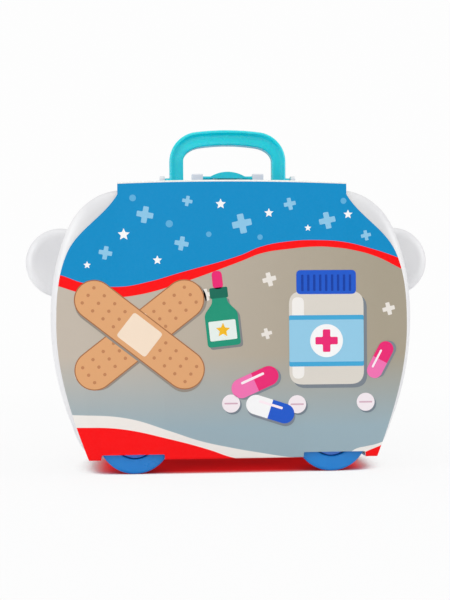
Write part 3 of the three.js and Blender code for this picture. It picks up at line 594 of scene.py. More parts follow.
@dataclass(frozen=True)
class Steel:
    """Zinc-plated steel with fine turning marks."""

    name: str = "zinc_steel"
    colour: Colour = (178, 182, 188)
    stain: Colour = (156, 160, 170)
    roughness: float = 0.28

    def material(self) -> bpy.types.Material:
        """Builds the steel.

        Returns:
            A procedural material on Object coordinates.
        """
        nodes = Nodes(self.name)
        tint = nodes.mix(nodes.spread(nodes.noise(420.0, 3.0), 0.0, 1.0), linear(self.colour),
                         linear(self.stain))
        gloss = nodes.spread(nodes.noise(900.0, 3.0), self.roughness - 0.08,
                             self.roughness + 0.1)
        marks = nodes.bump(nodes.noise(3400.0, 2.0), 0.000015)
        return nodes.shade(Base_Color=tint, Roughness=gloss, Normal=marks, Metallic=1.0)


LAMINATE: Colour = (255, 255, 255)
PRINT_GLOSS = 0.12     # specular level of the laminate


@dataclass(frozen=True)
class Print:
    """Laminated card: colour fields bounded by curves, white cut edges, a faint paper tooth.

    A curve is a row of (x, z) points in millimetres; the field lies below it. The field in the
    colour of the foot fades upwards into the ground, which itself changes from left to right.
    """

    name: str
    top: Colour
    fields: tuple[tuple[Colour, tuple[tuple[float, float], ...]], ...] = ()
    foot: Colour | None = None
    foot_from: float = 30.0
    foot_to: float = 78.0
    ground: tuple[Colour, Colour] = ((197, 186, 172), (170, 160, 141))
    board: tuple[Colour, Colour] = ((247, 246, 243), (228, 226, 221))
    half: float = 125.0
    height: float = 250.0
    roughness: float = 0.33
    board_roughness: float = 0.75

    def _below(self, nodes: Nodes, x: bpy.types.NodeSocket, z: bpy.types.NodeSocket,
               curve: Sequence[tuple[float, float]]) -> bpy.types.NodeSocket:
        """1 below a curve of x and z, 0 above it, over a fifth of a millimetre."""
        bound = nodes.add("ShaderNodeFloatCurve", {"Value": x})
        line = bound.mapping.curves[0]
        spots = [((a + self.half) / (2 * self.half), b / self.height) for a, b in curve]
        line.points[0].location, line.points[1].location = spots[0], spots[-1]
        for spot in spots[1:-1]:
            line.points.new(*spot)
        bound.mapping.update()
        gap = nodes.math("SUBTRACT", bound.outputs[0], z)
        return nodes.spread(gap, 0.0, 1.0, -0.0004, 0.0004)

    def material(self) -> bpy.types.Material:
        """Builds the printed card.

        Returns:
            A procedural material on Object coordinates and the attribute "printed".
        """
        nodes = Nodes(self.name)
        split = nodes.add("ShaderNodeSeparateXYZ", {0: nodes.place})
        x = nodes.spread(split.outputs[0], 0.0, 1.0, -self.half * METRE, self.half * METRE)
        z = nodes.spread(split.outputs[2], 0.0, 1.0, 0.0, self.height * METRE)
        ink: object = linear(self.top)
        if self.foot:
            left, right = map(linear, self.ground)
            deep = nodes.mix(nodes.spread(x, 0.0, 1.0, 0.1, 0.9), left, right)
            rise = nodes.spread(z, 0.0, 1.0, self.foot_from / self.height,
                                self.foot_to / self.height)
            ground = nodes.mix(rise, linear(self.foot), deep)
        for colour, curve in self.fields:
            tone = ground if self.foot and colour == self.foot else linear(colour)
            ink = nodes.mix(self._below(nodes, x, z, curve), ink, tone)
        face = nodes.add("ShaderNodeAttribute", attribute_name="printed").outputs["Fac"]
        pale, dark = map(linear, self.board)
        board = nodes.mix(nodes.spread(nodes.noise(900.0, 3.0), 0.0, 1.0), pale, dark)
        colour = nodes.mix(face, board, nodes.mottled(ink))
        change = nodes.math("MULTIPLY", face, self.roughness - self.board_roughness)
        gloss = nodes.math("ADD", change, self.board_roughness)
        return nodes.shade(Base_Color=colour, Roughness=gloss, Normal=nodes.tooth(),
                           Specular_IOR_Level=PRINT_GLOSS)


@dataclass(frozen=True)
class Ink:
    """Printed motifs: each face keeps its flat ink in the attribute "ink", under the laminate."""

    name: str = "printed_motifs"
    roughness: float = 0.33

    def material(self) -> bpy.types.Material:
        """Builds the ink.

        Returns:
            A procedural material on the attribute "ink" and Object coordinates.
        """
        nodes = Nodes(self.name)
        ink = nodes.add("ShaderNodeAttribute", attribute_name="ink").outputs["Color"]
        return nodes.shade(Base_Color=nodes.mottled(ink), Roughness=self.roughness,
                           Normal=nodes.tooth(), Specular_IOR_Level=PRINT_GLOSS)


# Sub-assemblies


class Assembly:
    """What every sub-assembly shares: dressing a finished mesh and reporting it."""

    def dress(self, obj: bpy.types.Object, material: bpy.types.Material, body: str, slot: str,
              *nodes: str) -> bpy.types.Object:
        """Gives a piece its material, the body it rides on and the nodes it stands for.

        Args:
            obj: The finished mesh.
            material: Its material.
            body: The body it rides on.
            slot: Name of the slot for its finish; not used.
            nodes: The CAD nodes it replaces.

        Returns:
            The same object.
        """
        obj.data.materials.clear()
        obj.data.materials.append(material)
        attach(obj, body)
        if nodes:
            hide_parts(*nodes)
        log.info("%s: %d faces on %s", obj.name, len(obj.data.polygons), body)
        return obj


@dataclass
class Form:
    """The outlines and lengths that the shells, the card, the wheels and the tray share."""

    half_width: float = 122.7
    widest: float = 103.0
    bottom: float = 10.5
    top: float = 191.5
    crown: float = 1.5
    top_half: float = 74.0
    bottom_half: float = 92.0
    shoulder: tuple[float, float] = (111.0, 163.4)
    heel: tuple[float, float] = (110.0, 34.0)
    shoulder_heading: float = 114.0
    heel_heading: float = 69.0
    depth: float = 50.0
    wall: float = 1.8
    round_edge: float = 9.0
    draft: float = 0.05
    ear_offset: float = 116.3
    ear_height: float = 141.0
    ear_radius: float = 24.0
    ear_depth: float = 15.0
    ear_round: float = 7.0
    wheel_offset: float = 65.5
    wheel_height: float = 24.29
    wheel_radius: float = 24.5
    wheel_back: float = 29.8
    wheel_width: float = 18.0
    well_radius: float = 27.0

    def top_at(self, x: float | Array) -> float | Array:
        """Height of the crowned top: a parabola that falls by the crown at its ends."""
        return self.top - self.crown * (np.asarray(x) / self.top_half) ** 2

    def outline(self, count: int = 22) -> Array:
        """Body outline at the parting plane: flat foot, four bends up the side, crowned top.

        Args:
            count: Points in each bend.

        Returns:
            An anticlockwise loop of x and z.
        """
        end = float(self.top_at(self.top_half))
        slope = math.degrees(math.atan2(2 * self.crown, self.top_half))
        flat = np.stack([np.linspace(0, self.bottom_half, 12), np.full(12, self.bottom)], axis=1)
        over = np.linspace(self.top_half, 0, 12)
        right = [
            flat[:-1],
            bend((self.bottom_half, self.bottom), self.heel, 0, self.heel_heading, count)[:-1],
            bend(self.heel, (self.half_width, self.widest), self.heel_heading, 90, count)[:-1],
            bend((self.half_width, self.widest), self.shoulder, 90, self.shoulder_heading,
                 count)[:-1],
            bend(self.shoulder, (self.top_half, end), self.shoulder_heading, 180 - slope,
                 count)[:-1],
            np.stack([over, self.top_at(over)], axis=1),
        ]
        return mirrored(np.concatenate(right))


@dataclass
class ShellHalf(Assembly):
    """One moulded half of the case, with its ears, wheel wells and axle stubs."""

    form: Form
    side: Side
    bracket_near: float = 17.3
    bracket_width: float = 7.7
    bracket_depth: float = 10.0
    bracket_top: float = 202.5
    latch_pivot: tuple[float, float] = (-7.0, 199.6)
    handle_pivot: tuple[float, float] = (9.0, 198.3)
    lug_near: float = 44.8
    lug_width: float = 3.5
    lug_radius: float = 4.3
    lug_base: float = 11.0
    handle_bore: float = 2.3
    hinge_height: float = 6.5
    hinge_offset: float = 24.0
    knuckle_radius: float = 3.0
    knuckle_length: float = 12.0
    side_knuckle: float = 7.0
    well_lip: float = 0.7
    stub_radius: float = 4.0
    stub_foot: float = 7.0
    stub_fillet: float = 2.4
    stub_end: float = 11.8
    pilot: float = 1.6
    ledge_depth: float = 10.5
    ledge_thickness: float = 2.4
    lip_start: float = 32.0

    def half(self, outline: Array, mouth: float, depth: float, edge: float,
             thickness: float) -> Solid:
        """A drafted side wall that turns over a quarter round of the edge radius into a flat face.

        Args:
            outline: Loop at the parting plane.
            mouth: Depth at which the wall starts.
            depth: Depth of the outer face.
            edge: Radius of the outer edge.
            thickness: 0 for the outside, or the wall for the hollow.

        Returns:
            The outside or the hollow as a closed mesh.
        """
        radius = edge - thickness
        straight = depth - edge
        slope = self.form.draft
        turn = np.linspace(0, math.pi / 2, 12)
        deep = np.concatenate([[mouth, straight / 2], straight + radius * np.sin(turn)])
        inward = thickness + slope * np.minimum(np.maximum(deep, 0), straight)
        inward[2:] += radius * (1 - np.cos(turn))
        rings = [placed(*inset(outline, i).T, np.array(self.side.value * d), Axis.Y)
                 for d, i in zip(deep, inward)]
        return loft(np.stack(rings))

    def ears(self, mouth: float, thickness: float) -> list[Solid]:
        """The two half ears, outside or hollow."""
        form = self.form
        return [self.half(circle(x, form.ear_height, form.ear_radius), mouth, form.ear_depth,
                          form.ear_round, thickness) for x in (-form.ear_offset, form.ear_offset)]

    def outside(self, name: str) -> Workpiece:
        """The full outer form."""
        form = self.form
        body = self.half(form.outline(), SEAT / 2, form.depth, form.round_edge, 0.0)
        return Workpiece(name, body).join(*self.ears(SEAT / 2, 0.0))

    def well(self, x: float) -> tuple[Solid, Solid, Solid, Solid]:
        """Housing, well, axle stub and screw hole of one wheel; the well's mouth is rounded."""
        form = self.form
        floor, wall = form.wheel_back - SEAT, form.wall
        lip, radius = self.well_lip, form.well_radius
        turn = np.linspace(0, math.pi / 2, 6)
        flare = np.stack([radius + lip * (1 - np.cos(turn)),
                          form.depth - lip + lip * np.sin(turn)], axis=1)
        profile = np.concatenate([
            [[0, floor], [radius - 1, floor], [radius, floor + 1]], flare,
            [[radius + lip, form.depth + 1], [0, form.depth + 1]]])
        foot, fillet, pilot = self.stub_foot, self.stub_fillet, self.pilot
        stub_radius = self.stub_radius
        curve = np.stack([foot - fillet * np.sin(turn),
                          floor + fillet * (1 - np.cos(turn))], axis=1)
        stub = np.concatenate([
            [[0, floor - 0.5], [foot, floor - 0.5]], curve,
            [[stub_radius, floor + 3.2], [stub_radius, floor + 11],
             [stub_radius - 0.5, floor + self.stub_end], [0, floor + self.stub_end]]])
        parts = [
            revolve(np.array([[0, floor - wall], [radius + wall, floor - wall],
                              [radius + wall, form.depth], [0, form.depth]])),
            revolve(profile), revolve(stub, sides=48),
            revolve(np.array([[0, floor + 1.5], [pilot, floor + 1.5], [pilot, form.depth],
                              [0, form.depth]]), sides=24),
        ]
        return tuple(Solid(p.points * [1, self.side.value, 1] + [x, 0, form.wheel_height], p.faces)
                     for p in parts)

    def knuckle(self, start: float, end: float) -> Workpiece:
        """A hinge barrel on the pin with a web up into the bottom wall."""
        near, far = span(self.side.value, SEAT / 2, self.knuckle_radius)
        web = box_outline(near, far, self.hinge_height, self.form.bottom + 0.6)
        barrel = rod(Axis.X, 0, self.hinge_height, self.knuckle_radius, start, end, 0.4, 48)
        return Workpiece("knuckle", barrel).join(prism(web, Axis.X, start + 0.3, end - 0.3)).cut(
            rod(Axis.X, 0, self.hinge_height, PIN_BORE, start - 1, end + 1, 0, 32))

    def brackets(self, shell: Workpiece) -> None:
        """Adds the two flat-topped brackets that carry the latch."""
        y, z = self.latch_pivot
        foot = float(self.form.top_at(25.0)) - 1.5
        half, near = self.bracket_depth / 2, self.bracket_near
        side = softened(np.array([[y - half, foot], [y + half, foot],
                                  [y + half - 2, self.bracket_top],
                                  [y - half + 2, self.bracket_top]]), 1.2)
        far = near + self.bracket_width
        shell.join(prism(side, Axis.X, near, far, 0.6), prism(side, Axis.X, -far, -near, 0.6))
        shell.cut(rod(Axis.X, y, z, PIN_BORE, -far - 1, far + 1, 0, 40))

    def lugs(self, shell: Workpiece) -> None:
        """Adds the two round-topped lugs of the handle and the catch of the latch."""
        y, z = self.handle_pivot
        foot = float(self.form.top_at(48.3)) - 1.7
        arc = np.linspace(0, math.pi, 24)
        cap = np.stack([y + self.lug_radius * np.cos(arc),
                        z + self.lug_radius * np.sin(arc)], axis=1)
        half = self.lug_base / 2
        side = np.concatenate([[[y - half, foot], [y + half, foot]], cap])
        far = self.lug_near + self.lug_width
        for near in (self.lug_near, -far):
            start = near + HANDLE_SHIFT
            shell.join(prism(side, Axis.X, start, near + self.lug_width + HANDLE_SHIFT, 0.5))
        shell.cut(rod(Axis.X, y, z, self.handle_bore, -far - 1, far + 1, 0, 40))
        catch = softened(np.array([[9.0, foot], [14.0, foot], [13.0, 199.5], [10.0, 199.5]]), 0.8)
        shell.join(prism(catch, Axis.X, -7.0, 7.0, 0.5))

    def rim(self, shell: Workpiece) -> None:
        """Adds the centring lip and the ledges that the tray rests on."""
        form = self.form
        outline, far = form.outline(), form.wall + 0.5 + 1.3
        ears = [rod(Axis.Y, x, form.ear_height, form.ear_radius - form.wall / 2, -4, 6)
                for x in (-form.ear_offset, form.ear_offset)]
        lip = Workpiece("lip", prism(inset(outline, form.wall + 0.5), Axis.Y, -2.5, 0.3))
        lip.join(prism(inset(outline, form.wall - 0.5), Axis.Y, 0.15, 4.0))
        lip.cut(prism(inset(outline, far), Axis.Y, -4, 6),
                brick(-BEYOND, BEYOND, -4, 6, 0, self.lip_start), *ears)
        near, deep = self.ledge_depth, form.depth
        ledge = Workpiece("ledge", prism(inset(outline, 0.5), Axis.Y, near,
                                         near + self.ledge_thickness))
        ledge.cut(prism(inset(outline, form.wall + form.draft * near + 3), Axis.Y,
                        near - 1, near + 4))
        spots = [brick(x - 6, x + 6, 0, deep, low, high)
                 for x, low, high in ((-50, 103, 200), (50, 103, 200), (-30, 0, 103), (30, 0, 103))]
        ledge.keep(merged(spots + [brick(-BEYOND, BEYOND, 0, deep, 73, 85)]))
        shell.join(lip, ledge)

    def make(self, white: bpy.types.Material) -> None:
        """Builds the half and dresses it.

        Args:
            white: The shell plastic.
        """
        form, front = self.form, self.side is Side.FRONT
        name, node = ("lid_moulding", "front_shell") if front else ("base_moulding", "rear_shell")
        shell = self.outside(name)
        shell.cut(self.half(form.outline(), -1.0, form.depth, form.round_edge, form.wall),
                  *self.ears(-1.0, form.wall))
        for x in (-form.wheel_offset, form.wheel_offset):
            housing, well, stub, pilot = self.well(x)
            shell.join(Workpiece("housing", housing).keep(self.outside("outer")))
            shell.cut(well).join(stub).cut(pilot)
        half, gap = self.knuckle_length / 2, self.knuckle_length / 2 + SEAT
        for x in (-self.hinge_offset, self.hinge_offset):
            if front:
                shell.join(self.knuckle(x - half, x + half))
            else:
                shell.join(self.knuckle(x + gap, x + gap + self.side_knuckle),
                           self.knuckle(x - gap - self.side_knuckle, x - gap))
        if front:
            self.brackets(shell)
        else:
            self.rim(shell)
            self.lugs(shell)
        self.dress(shell.finished(crease=28.0), white, self.side.body, "shell_white", node)


@dataclass
class Handle(Assembly):
    """The folding handle: an arch of rounded section with a shallow trough along its faces."""

    half: float = 41.3
    top: float = 235.1
    crown: float = 1.6
    crown_half: float = 24.0
    under_half: float = 20.5
    crown_heading: float = 169.0
    bar: float = 10.7
    leg: float = 9.7
    depth: float = 10.0
    bend_height: float = 212.8
    edge: float = 2.0
    inner_edge: float = 0.8
    trough: float = 1.5
    leg_trough: float = 0.25
    bias: float = 0.6
    pivot: tuple[float, float] = (9.0, 198.3)
    boss: float = 2.9
    pin: float = 2.0
    pin_end: float = 48.3

    def arch(self, half: float, top: float, crown: float) -> Array:
        """A leg, a bend and half of a parabola on the right, then the same on the left.

        Args:
            half: Half width between the legs.
            top: Height of the middle of the bar.
            crown: Half length of the crowned middle.

        Returns:
            Rows of x and z from the right foot to the left foot.
        """
        foot = self.pivot[1] - self.depth / 2
        leg = np.stack([np.full(10, half), np.linspace(foot, self.bend_height, 10)], axis=1)
        turn = bend((half, self.bend_height), (crown, top - self.crown), 90, self.crown_heading, 30)
        t = np.linspace(0, 0.5, 12)
        over = np.stack([crown * (1 - 2 * t), top - self.crown + 4 * self.crown * t * (1 - t)],
                        axis=1)
        right = np.concatenate([leg[:-1], turn[:-1], over])
        return np.concatenate([right, (right * [-1, 1])[-2::-1]])

    def section(self, width: Array, level: Array) -> tuple[Array, Array]:
        """The section at every ring: a rounded rectangle whose long faces carry a shallow trough.

        The face lies at half the depth less trough sin^2(pi f^bias), where f runs from 0 at the
        outer edge of the face to 1 at the inner one: it falls steeply near the outer edge and
        rises gently to the inner one. The trough is shallower down the legs.

        Args:
            width: Width of the bar at every ring.
            level: 1 where the bar runs level, 0 where it runs upright.

        Returns:
            Places across the bar and along Y as (ring, corner).
        """
        turn = np.linspace(0, math.pi / 2, 7)
        face = np.linspace(0, 1, 26)[1:-1]
        half_w, half_d = width[:, None] / 2, self.depth / 2
        corner, inside = self.edge, self.inner_edge
        outer, inner = half_w - corner, -(half_w - inside)
        run = outer + (inner - outer) * face
        share = np.clip(level, 0, 1)[:, None]
        sunk = self.trough * (self.leg_trough + (1 - self.leg_trough) * share)
        hollow = half_d - sunk * np.sin(math.pi * face ** self.bias) ** 2
        across = np.concatenate([outer + corner * np.cos(turn), run,
                                 inner - inside * np.sin(turn)], axis=1)
        deep = np.concatenate([half_d - corner + corner * np.sin(turn) + 0 * outer, hollow,
                               half_d - inside + inside * np.cos(turn) + 0 * outer], axis=1)
        return (np.concatenate([across, across[:, ::-1]], axis=1),
                np.concatenate([deep, -deep[:, ::-1]], axis=1))

    def make(self, teal: bpy.types.Material) -> None:
        """Builds the handle with its bosses and pins, and dresses it.

        Args:
            teal: The handle plastic.
        """
        outside = self.arch(self.half, self.top, self.crown_half)
        inside = self.arch(self.half - self.leg, self.top - self.bar, self.under_half)
        way = outside - inside
        width = np.linalg.norm(way, axis=1)
        centre, unit = (outside + inside) / 2, way / width[:, None]
        across, deep = self.section(width, unit[:, 1])
        xz = centre[:, None] + unit[:, None] * across[:, :, None]
        y, z = self.pivot
        rings = np.stack([xz[:, :, 0] + HANDLE_SHIFT, y + deep, xz[:, :, 1]], axis=-1)
        side = stadium((y, z), (y, self.top + 20), self.depth / 2)
        handle = Workpiece("carry_handle", loft(rings)).keep(prism(side, Axis.X, -60, 60))
        for sign in (-1, 1):
            reach = [HANDLE_SHIFT + x for x in span(sign, self.half - 3, self.half + 3.2)]
            pin = [HANDLE_SHIFT + x for x in span(sign, self.half, self.pin_end)]
            handle.join(rod(Axis.X, y, z, self.boss, *reach, 0.4),
                        rod(Axis.X, y, z, self.pin, *pin, 0.4))
        self.dress(handle.finished(crease=40.0), teal, "handle", "teal_plastic", "handle")


@dataclass
class Latch(Assembly):
    """The flip latch: a plate arched across its width, hollow below, with a pin each side."""

    pivot: tuple[float, float] = (-7.0, 199.6)
    length: float = 22.0
    straight: float = 9.5
    half: float = 12.8
    tip_half: float = 8.0
    top: float = 203.9
    crown: float = 3.8
    thickness: float = 2.2
    heel: float = 2.4
    foot: float = 0.2
    pin: float = 1.3
    pin_end: float = 24.7
    slot: tuple[float, float, float] = (6.5, 8.5, 10.5)
    rib_foot: float = 199.8

    def make(self, teal: bpy.types.Material) -> None:
        """Builds the latch and dresses it.

        Args:
            teal: The latch plastic.
        """
        y, z = self.pivot
        back, tip = y - self.heel, y + self.length
        radius = (self.half ** 2 + self.crown ** 2) / (2 * self.crown)
        centre = self.top - radius
        side = np.array([[0, back], [self.half - 0.01, back]])
        curve = bend((self.half, y + self.straight), (self.tip_half, tip), 90, 180, 20)
        plan = mirrored(np.concatenate([side, curve, [[0, tip]]]))
        plate = Workpiece("flip_latch", prism(plan, Axis.Z, z - self.foot, self.top + 2))
        slot_half, slot_start, slot_end = self.slot
        plate.cut(brick(-slot_half, slot_half, y + slot_start, y + slot_end, z, self.top + 3))
        dome = rod(Axis.Y, 0, centre, radius, back - 1, tip + 1, 0, 256)
        under = rod(Axis.Y, 0, centre, radius - self.thickness, back - 2, tip + 2, 0, 256)
        plate.keep(dome).cut(under)
        far = tip - 3.5
        web = Workpiece("web", brick(-self.half, self.half, back, y + 1.2, z - self.foot, self.top))
        rib = Workpiece("rib", brick(-self.tip_half, self.tip_half, far - 2, far, self.rib_foot,
                                     self.top))
        plate.join(web.keep(dome), rib.keep(dome))
        for sign in (-1, 1):
            reach = span(sign, self.half - self.heel, self.pin_end)
            plate.join(rod(Axis.X, y, z, self.pin, *reach, 0.4, 40))
        self.dress(plate.finished(bevel=0.3, crease=40.0), teal, "latch", "teal_plastic", "latch")


@dataclass
class Wheel(Assembly):
    """A wheel with its hub cap and screw, all turned about the axle."""

    form: Form
    hub: float = 14.4
    hub_depth: float = 6.5
    cap_rise: float = 5.0
    edge: float = 2.0
    bore: float = 4.3
    wall: float = 2.2
    cap_wall: float = 1.5
    cap_thickness: float = 1.9

    def profiles(self) -> dict[str, tuple[Array, int, bool]]:
        """Profiles of wheel, cap and screw from the back of the wheel outwards.

        Returns:
            For each piece its profile, its sides and whether the profile is a loop.
        """
        radius, width = self.form.wheel_radius, self.form.wheel_width
        hub, wall = self.hub, self.wall
        face = width - self.hub_depth
        arc = np.linspace(0, math.pi / 2, 7)
        edge, lips = self.edge, 1.0
        tread = np.stack([radius - edge + edge * np.cos(arc), width - edge + edge * np.sin(arc)],
                         axis=1)
        lip = np.stack([hub + lips - lips * np.sin(arc), width - lips + lips * np.cos(arc)], axis=1)
        wheel = np.concatenate([
            [[self.bore, 0], [7, 0], [7, face - wall], [hub + wall, face - wall],
             [hub + wall, width - wall], [radius - wall, width - wall], [radius - wall, 0],
             [radius - 0.3, 0], [radius, 0.3]],
            tread, lip, [[hub, face + 0.5], [hub - 0.5, face], [self.bore, face]]])
        foot, rim = face + SEAT, hub - SEAT
        top = foot + self.cap_rise
        under, inner = top - self.cap_thickness, rim - self.cap_wall
        crown = np.linspace(0, 1, 8)
        dish = np.stack([(rim - 0.8) * (1 - crown), top + 0.6 * (1 - (1 - crown) ** 2)], axis=1)
        cap = np.concatenate([[[0, under], [inner, under], [inner, foot], [rim, foot]],
                              [[rim, top - 0.8], [rim - 0.25, top - 0.25]], dish])
        screw = np.array([[0, foot - 10], [1.3, foot - 8.8], [1.3, foot], [6.5, foot],
                          [6.5, foot + 0.7], [3.3, foot + 1.4], [1.2, foot + 1.4],
                          [0.9, foot + 0.7], [0, foot + 0.7]])
        return {"wheel": (wheel, 96, True), "hub_cap": (cap, 72, False),
                "wheel_screw": (screw, 32, False)}

    def make(self, finishes: dict[str, tuple[bpy.types.Material, str]]) -> None:
        """Builds the four corners and dresses them.

        Args:
            finishes: Material and slot for each of the three pieces.
        """
        for side in Side:
            for hand, x in (("left", -self.form.wheel_offset), ("right", self.form.wheel_offset)):
                tail = f"{side.end}_{hand}"
                for kind, (profile, sides, closed) in self.profiles().items():
                    part = revolve(profile, Axis.Y, sides, closed)
                    points = part.points + [0, self.form.wheel_back, 0]
                    place = [x, 0, self.form.wheel_height]
                    solid = Solid(points * [1, side.value, 1] + place, part.faces)
                    body = side.body if kind == "wheel_screw" else f"wheel_{tail}"
                    obj = Workpiece(f"{kind}_{tail}_turned", solid).finished()
                    material, slot = finishes[kind]
                    self.dress(obj, material, body, slot, f"{kind}_{tail}")


@dataclass
class HingePins(Assembly):
    """Two steel pins through the knuckles."""

    height: float = 6.5
    offset: float = 24.0
    radius: float = 1.3
    reach: float = 13.0

    def make(self, steel: bpy.types.Material) -> None:
        """Builds both pins and dresses them."""
        for hand, x in (("left", -self.offset), ("right", self.offset)):
            pin = rod(Axis.X, 0, self.height, self.radius, x - self.reach, x + self.reach, 0.3, 32)
            obj = Workpiece(f"hinge_pin_{hand}_turned", pin).finished()
            self.dress(obj, steel, "base", "steel", f"hinge_pin_{hand}")


def turned(outline: Array, x: float, z: float, angle: float = 0.0) -> Array:
    """Turns an outline by an angle in degrees and moves it to a place."""
    c, s = math.cos(math.radians(angle)), math.sin(math.radians(angle))
    return outline @ np.array([[c, s], [-s, c]]) + [x, z]


@dataclass
class Motif:
    """Flat printed shapes: outlines in x and z with their ink and their layer."""

    shapes: list[tuple[Array, Colour, int]] = field(default_factory=list)
    step: float = 0.02

    def add(self, outline: Array, ink: Colour, layer: int = 1) -> None:
        """Adds one shape."""
        self.shapes.append((outline, ink, layer))

    def stamp(self, x: float, z: float, angle: float,
              *rows: tuple[Array, Colour, int]) -> None:
        """Adds rows of outline, ink and layer, all turned and moved to one place."""
        for outline, ink, layer in rows:
            self.add(turned(outline, x, z, angle), ink, layer)

    def plus(self, x: float, z: float, arm: float, ink: Colour, angle: float = 0.0,
             layer: int = 1) -> None:
        """A plus sign with arms a third as wide as it is long."""
        w = arm / 3
        corners = np.array([[w, -arm], [w, -w], [arm, -w], [arm, w], [w, w], [w, arm], [-w, arm],
                            [-w, w], [-arm, w], [-arm, -w], [-w, -w], [-w, -arm]])
        self.add(turned(softened(corners, arm * 0.12), x, z, angle), ink, layer)

    def star(self, x: float, z: float, radius: float, ink: Colour, layer: int = 1) -> None:
        """A five-pointed star: radius alternates between 1 and 0.46."""
        turn = math.pi / 2 + np.arange(10) * TAU / 10
        reach = np.where(np.arange(10) % 2 == 0, radius, radius * 0.46)
        points = np.stack([x + reach * np.cos(turn), z + reach * np.sin(turn)], axis=1)
        self.add(softened(points, radius * 0.1), ink, layer)

    def capsule(self, x: float, z: float, half: float, radius: float, angle: float,
                inks: tuple[Colour, Colour], layer: int = 1) -> None:
        """A two-coloured capsule with a shadow below it and a pale streak along it."""
        whole = stadium((-half, 0), (half, 0), radius)
        right = np.concatenate([[[0, -radius]], whole[whole[:, 0] > 0], [[0, radius]]])
        high = radius * 0.45
        streak = stadium((-half * 0.8, high), (half * 0.7, high), radius * 0.13, 8)
        self.stamp(x, z, angle, (whole + [1.2, -1.6], (128, 136, 146), layer),
                   (whole, inks[0], layer + 1), (right, inks[1], layer + 2),
                   (streak, (255, 240, 246), layer + 3))

    def plaster(self, x: float, z: float, half: float, width: float, angle: float,
                layer: int = 1) -> None:
        """A sticking plaster with a pad and rows of small holes."""
        strip = stadium((-half + width, 0), (half - width, 0), width)
        pad = softened(box_outline(-width * 0.95, width * 0.95, -width * 0.78, width * 0.78), 2)
        along = np.concatenate([np.linspace(-half + width * 0.6, -width * 1.35, 4),
                                np.linspace(width * 1.35, half - width * 0.6, 4)])
        holes = [(circle(a, b, width * 0.09, 12), (196, 134, 92), layer + 3)
                 for a in along for b in np.linspace(-0.5, 0.5, 3) * width]
        self.stamp(x, z, angle, (strip + [1.4, -2.0], (150, 142, 132), layer),
                   (inset(strip, -0.7), (170, 112, 74), layer + 1),
                   (strip, (226, 168, 118), layer + 2), (pad, (247, 226, 203), layer + 3), *holes)

    def make(self, name: str, front: float, way: int) -> bpy.types.Object:
        """Builds the shapes as thin plates on a flat face; each layer reaches a little further.

        The attribute "ink" keeps the ink of each face as linear red, green, blue and alpha.

        Args:
            name: Name of the object.
            front: Depth y of the face that carries them.
            way: -1 where the face looks to -Y, 1 where it looks to +Y.

        Returns:
            The object.
        """
        plates = [prism(outline, Axis.Y, front, front + way * self.step * (layer + 1))
                  for outline, _, layer in self.shapes]
        inks = np.concatenate([np.tile(linear(ink), (len(plate.faces), 1))
                               for plate, (_, ink, _) in zip(plates, self.shapes)])
        solid = merged(plates)
        obj = build(name, solid, whole=True)
        attribute = obj.data.attributes.new("ink", "FLOAT_COLOR", "FACE")
        attribute.data.foreach_set("color", inks.ravel())
        return obj


WHITE: Colour = (250, 250, 250)
PAPER: Colour = (241, 237, 231)
SKY: Colour = (150, 205, 232)
RED: Colour = (255, 8, 14)
PINK: Colour = (244, 118, 180)
ROSE: Colour = (238, 45, 118)
GREEN: Colour = (36, 150, 110)
ROYAL: Colour = (36, 92, 205)
GOLD: Colour = (246, 190, 40)

WAVE_TOP = ((-125, 134.5), (-112, 131), (-99, 126.4), (-76, 123.6), (-54.7, 127.1), (-36.2, 132.4),
            (4.8, 144), (18.7, 149.7), (38.9, 153.3), (56.5, 153.9), (74.3, 152.6), (92.1, 148.3),
            (108, 143.1), (125, 136))
WAVE_FOOT = ((-125, 127.5), (-114, 124), (-99, 119.4), (-80, 116.8), (-62, 118.4), (-36.2, 125.4),
             (4.8, 139.9), (18.7, 145.2), (38.9, 148.3), (55.4, 149.6), (68.4, 149), (79, 147.5),
             (95.5, 143), (110.4, 135.8), (125, 128))
SWOOSH_TOP = ((-125, 40.5), (-106, 39.8), (-70, 37), (-42, 28.2), (-23, 21.7), (-2, 16.8),
              (15, 13.6),
              (39, 9.8), (70, 8), (76, 11.5), (81.7, 15), (88, 16.3), (96.7, 18.3), (125, 32))
WEDGE_TOP = ((-125, 32), (-104, 31.5), (-75, 30.2), (-42, 22.9), (-17, 15.8), (-2, 10.5), (20, 6),
             (70, 6), (84, 10.8), (88.3, 12.9), (98.9, 17.2), (125, 30))
BASE_EDGE = ((-125, 9.7), (125, 9.7))
BEIGE: Colour = (156, 178, 187)


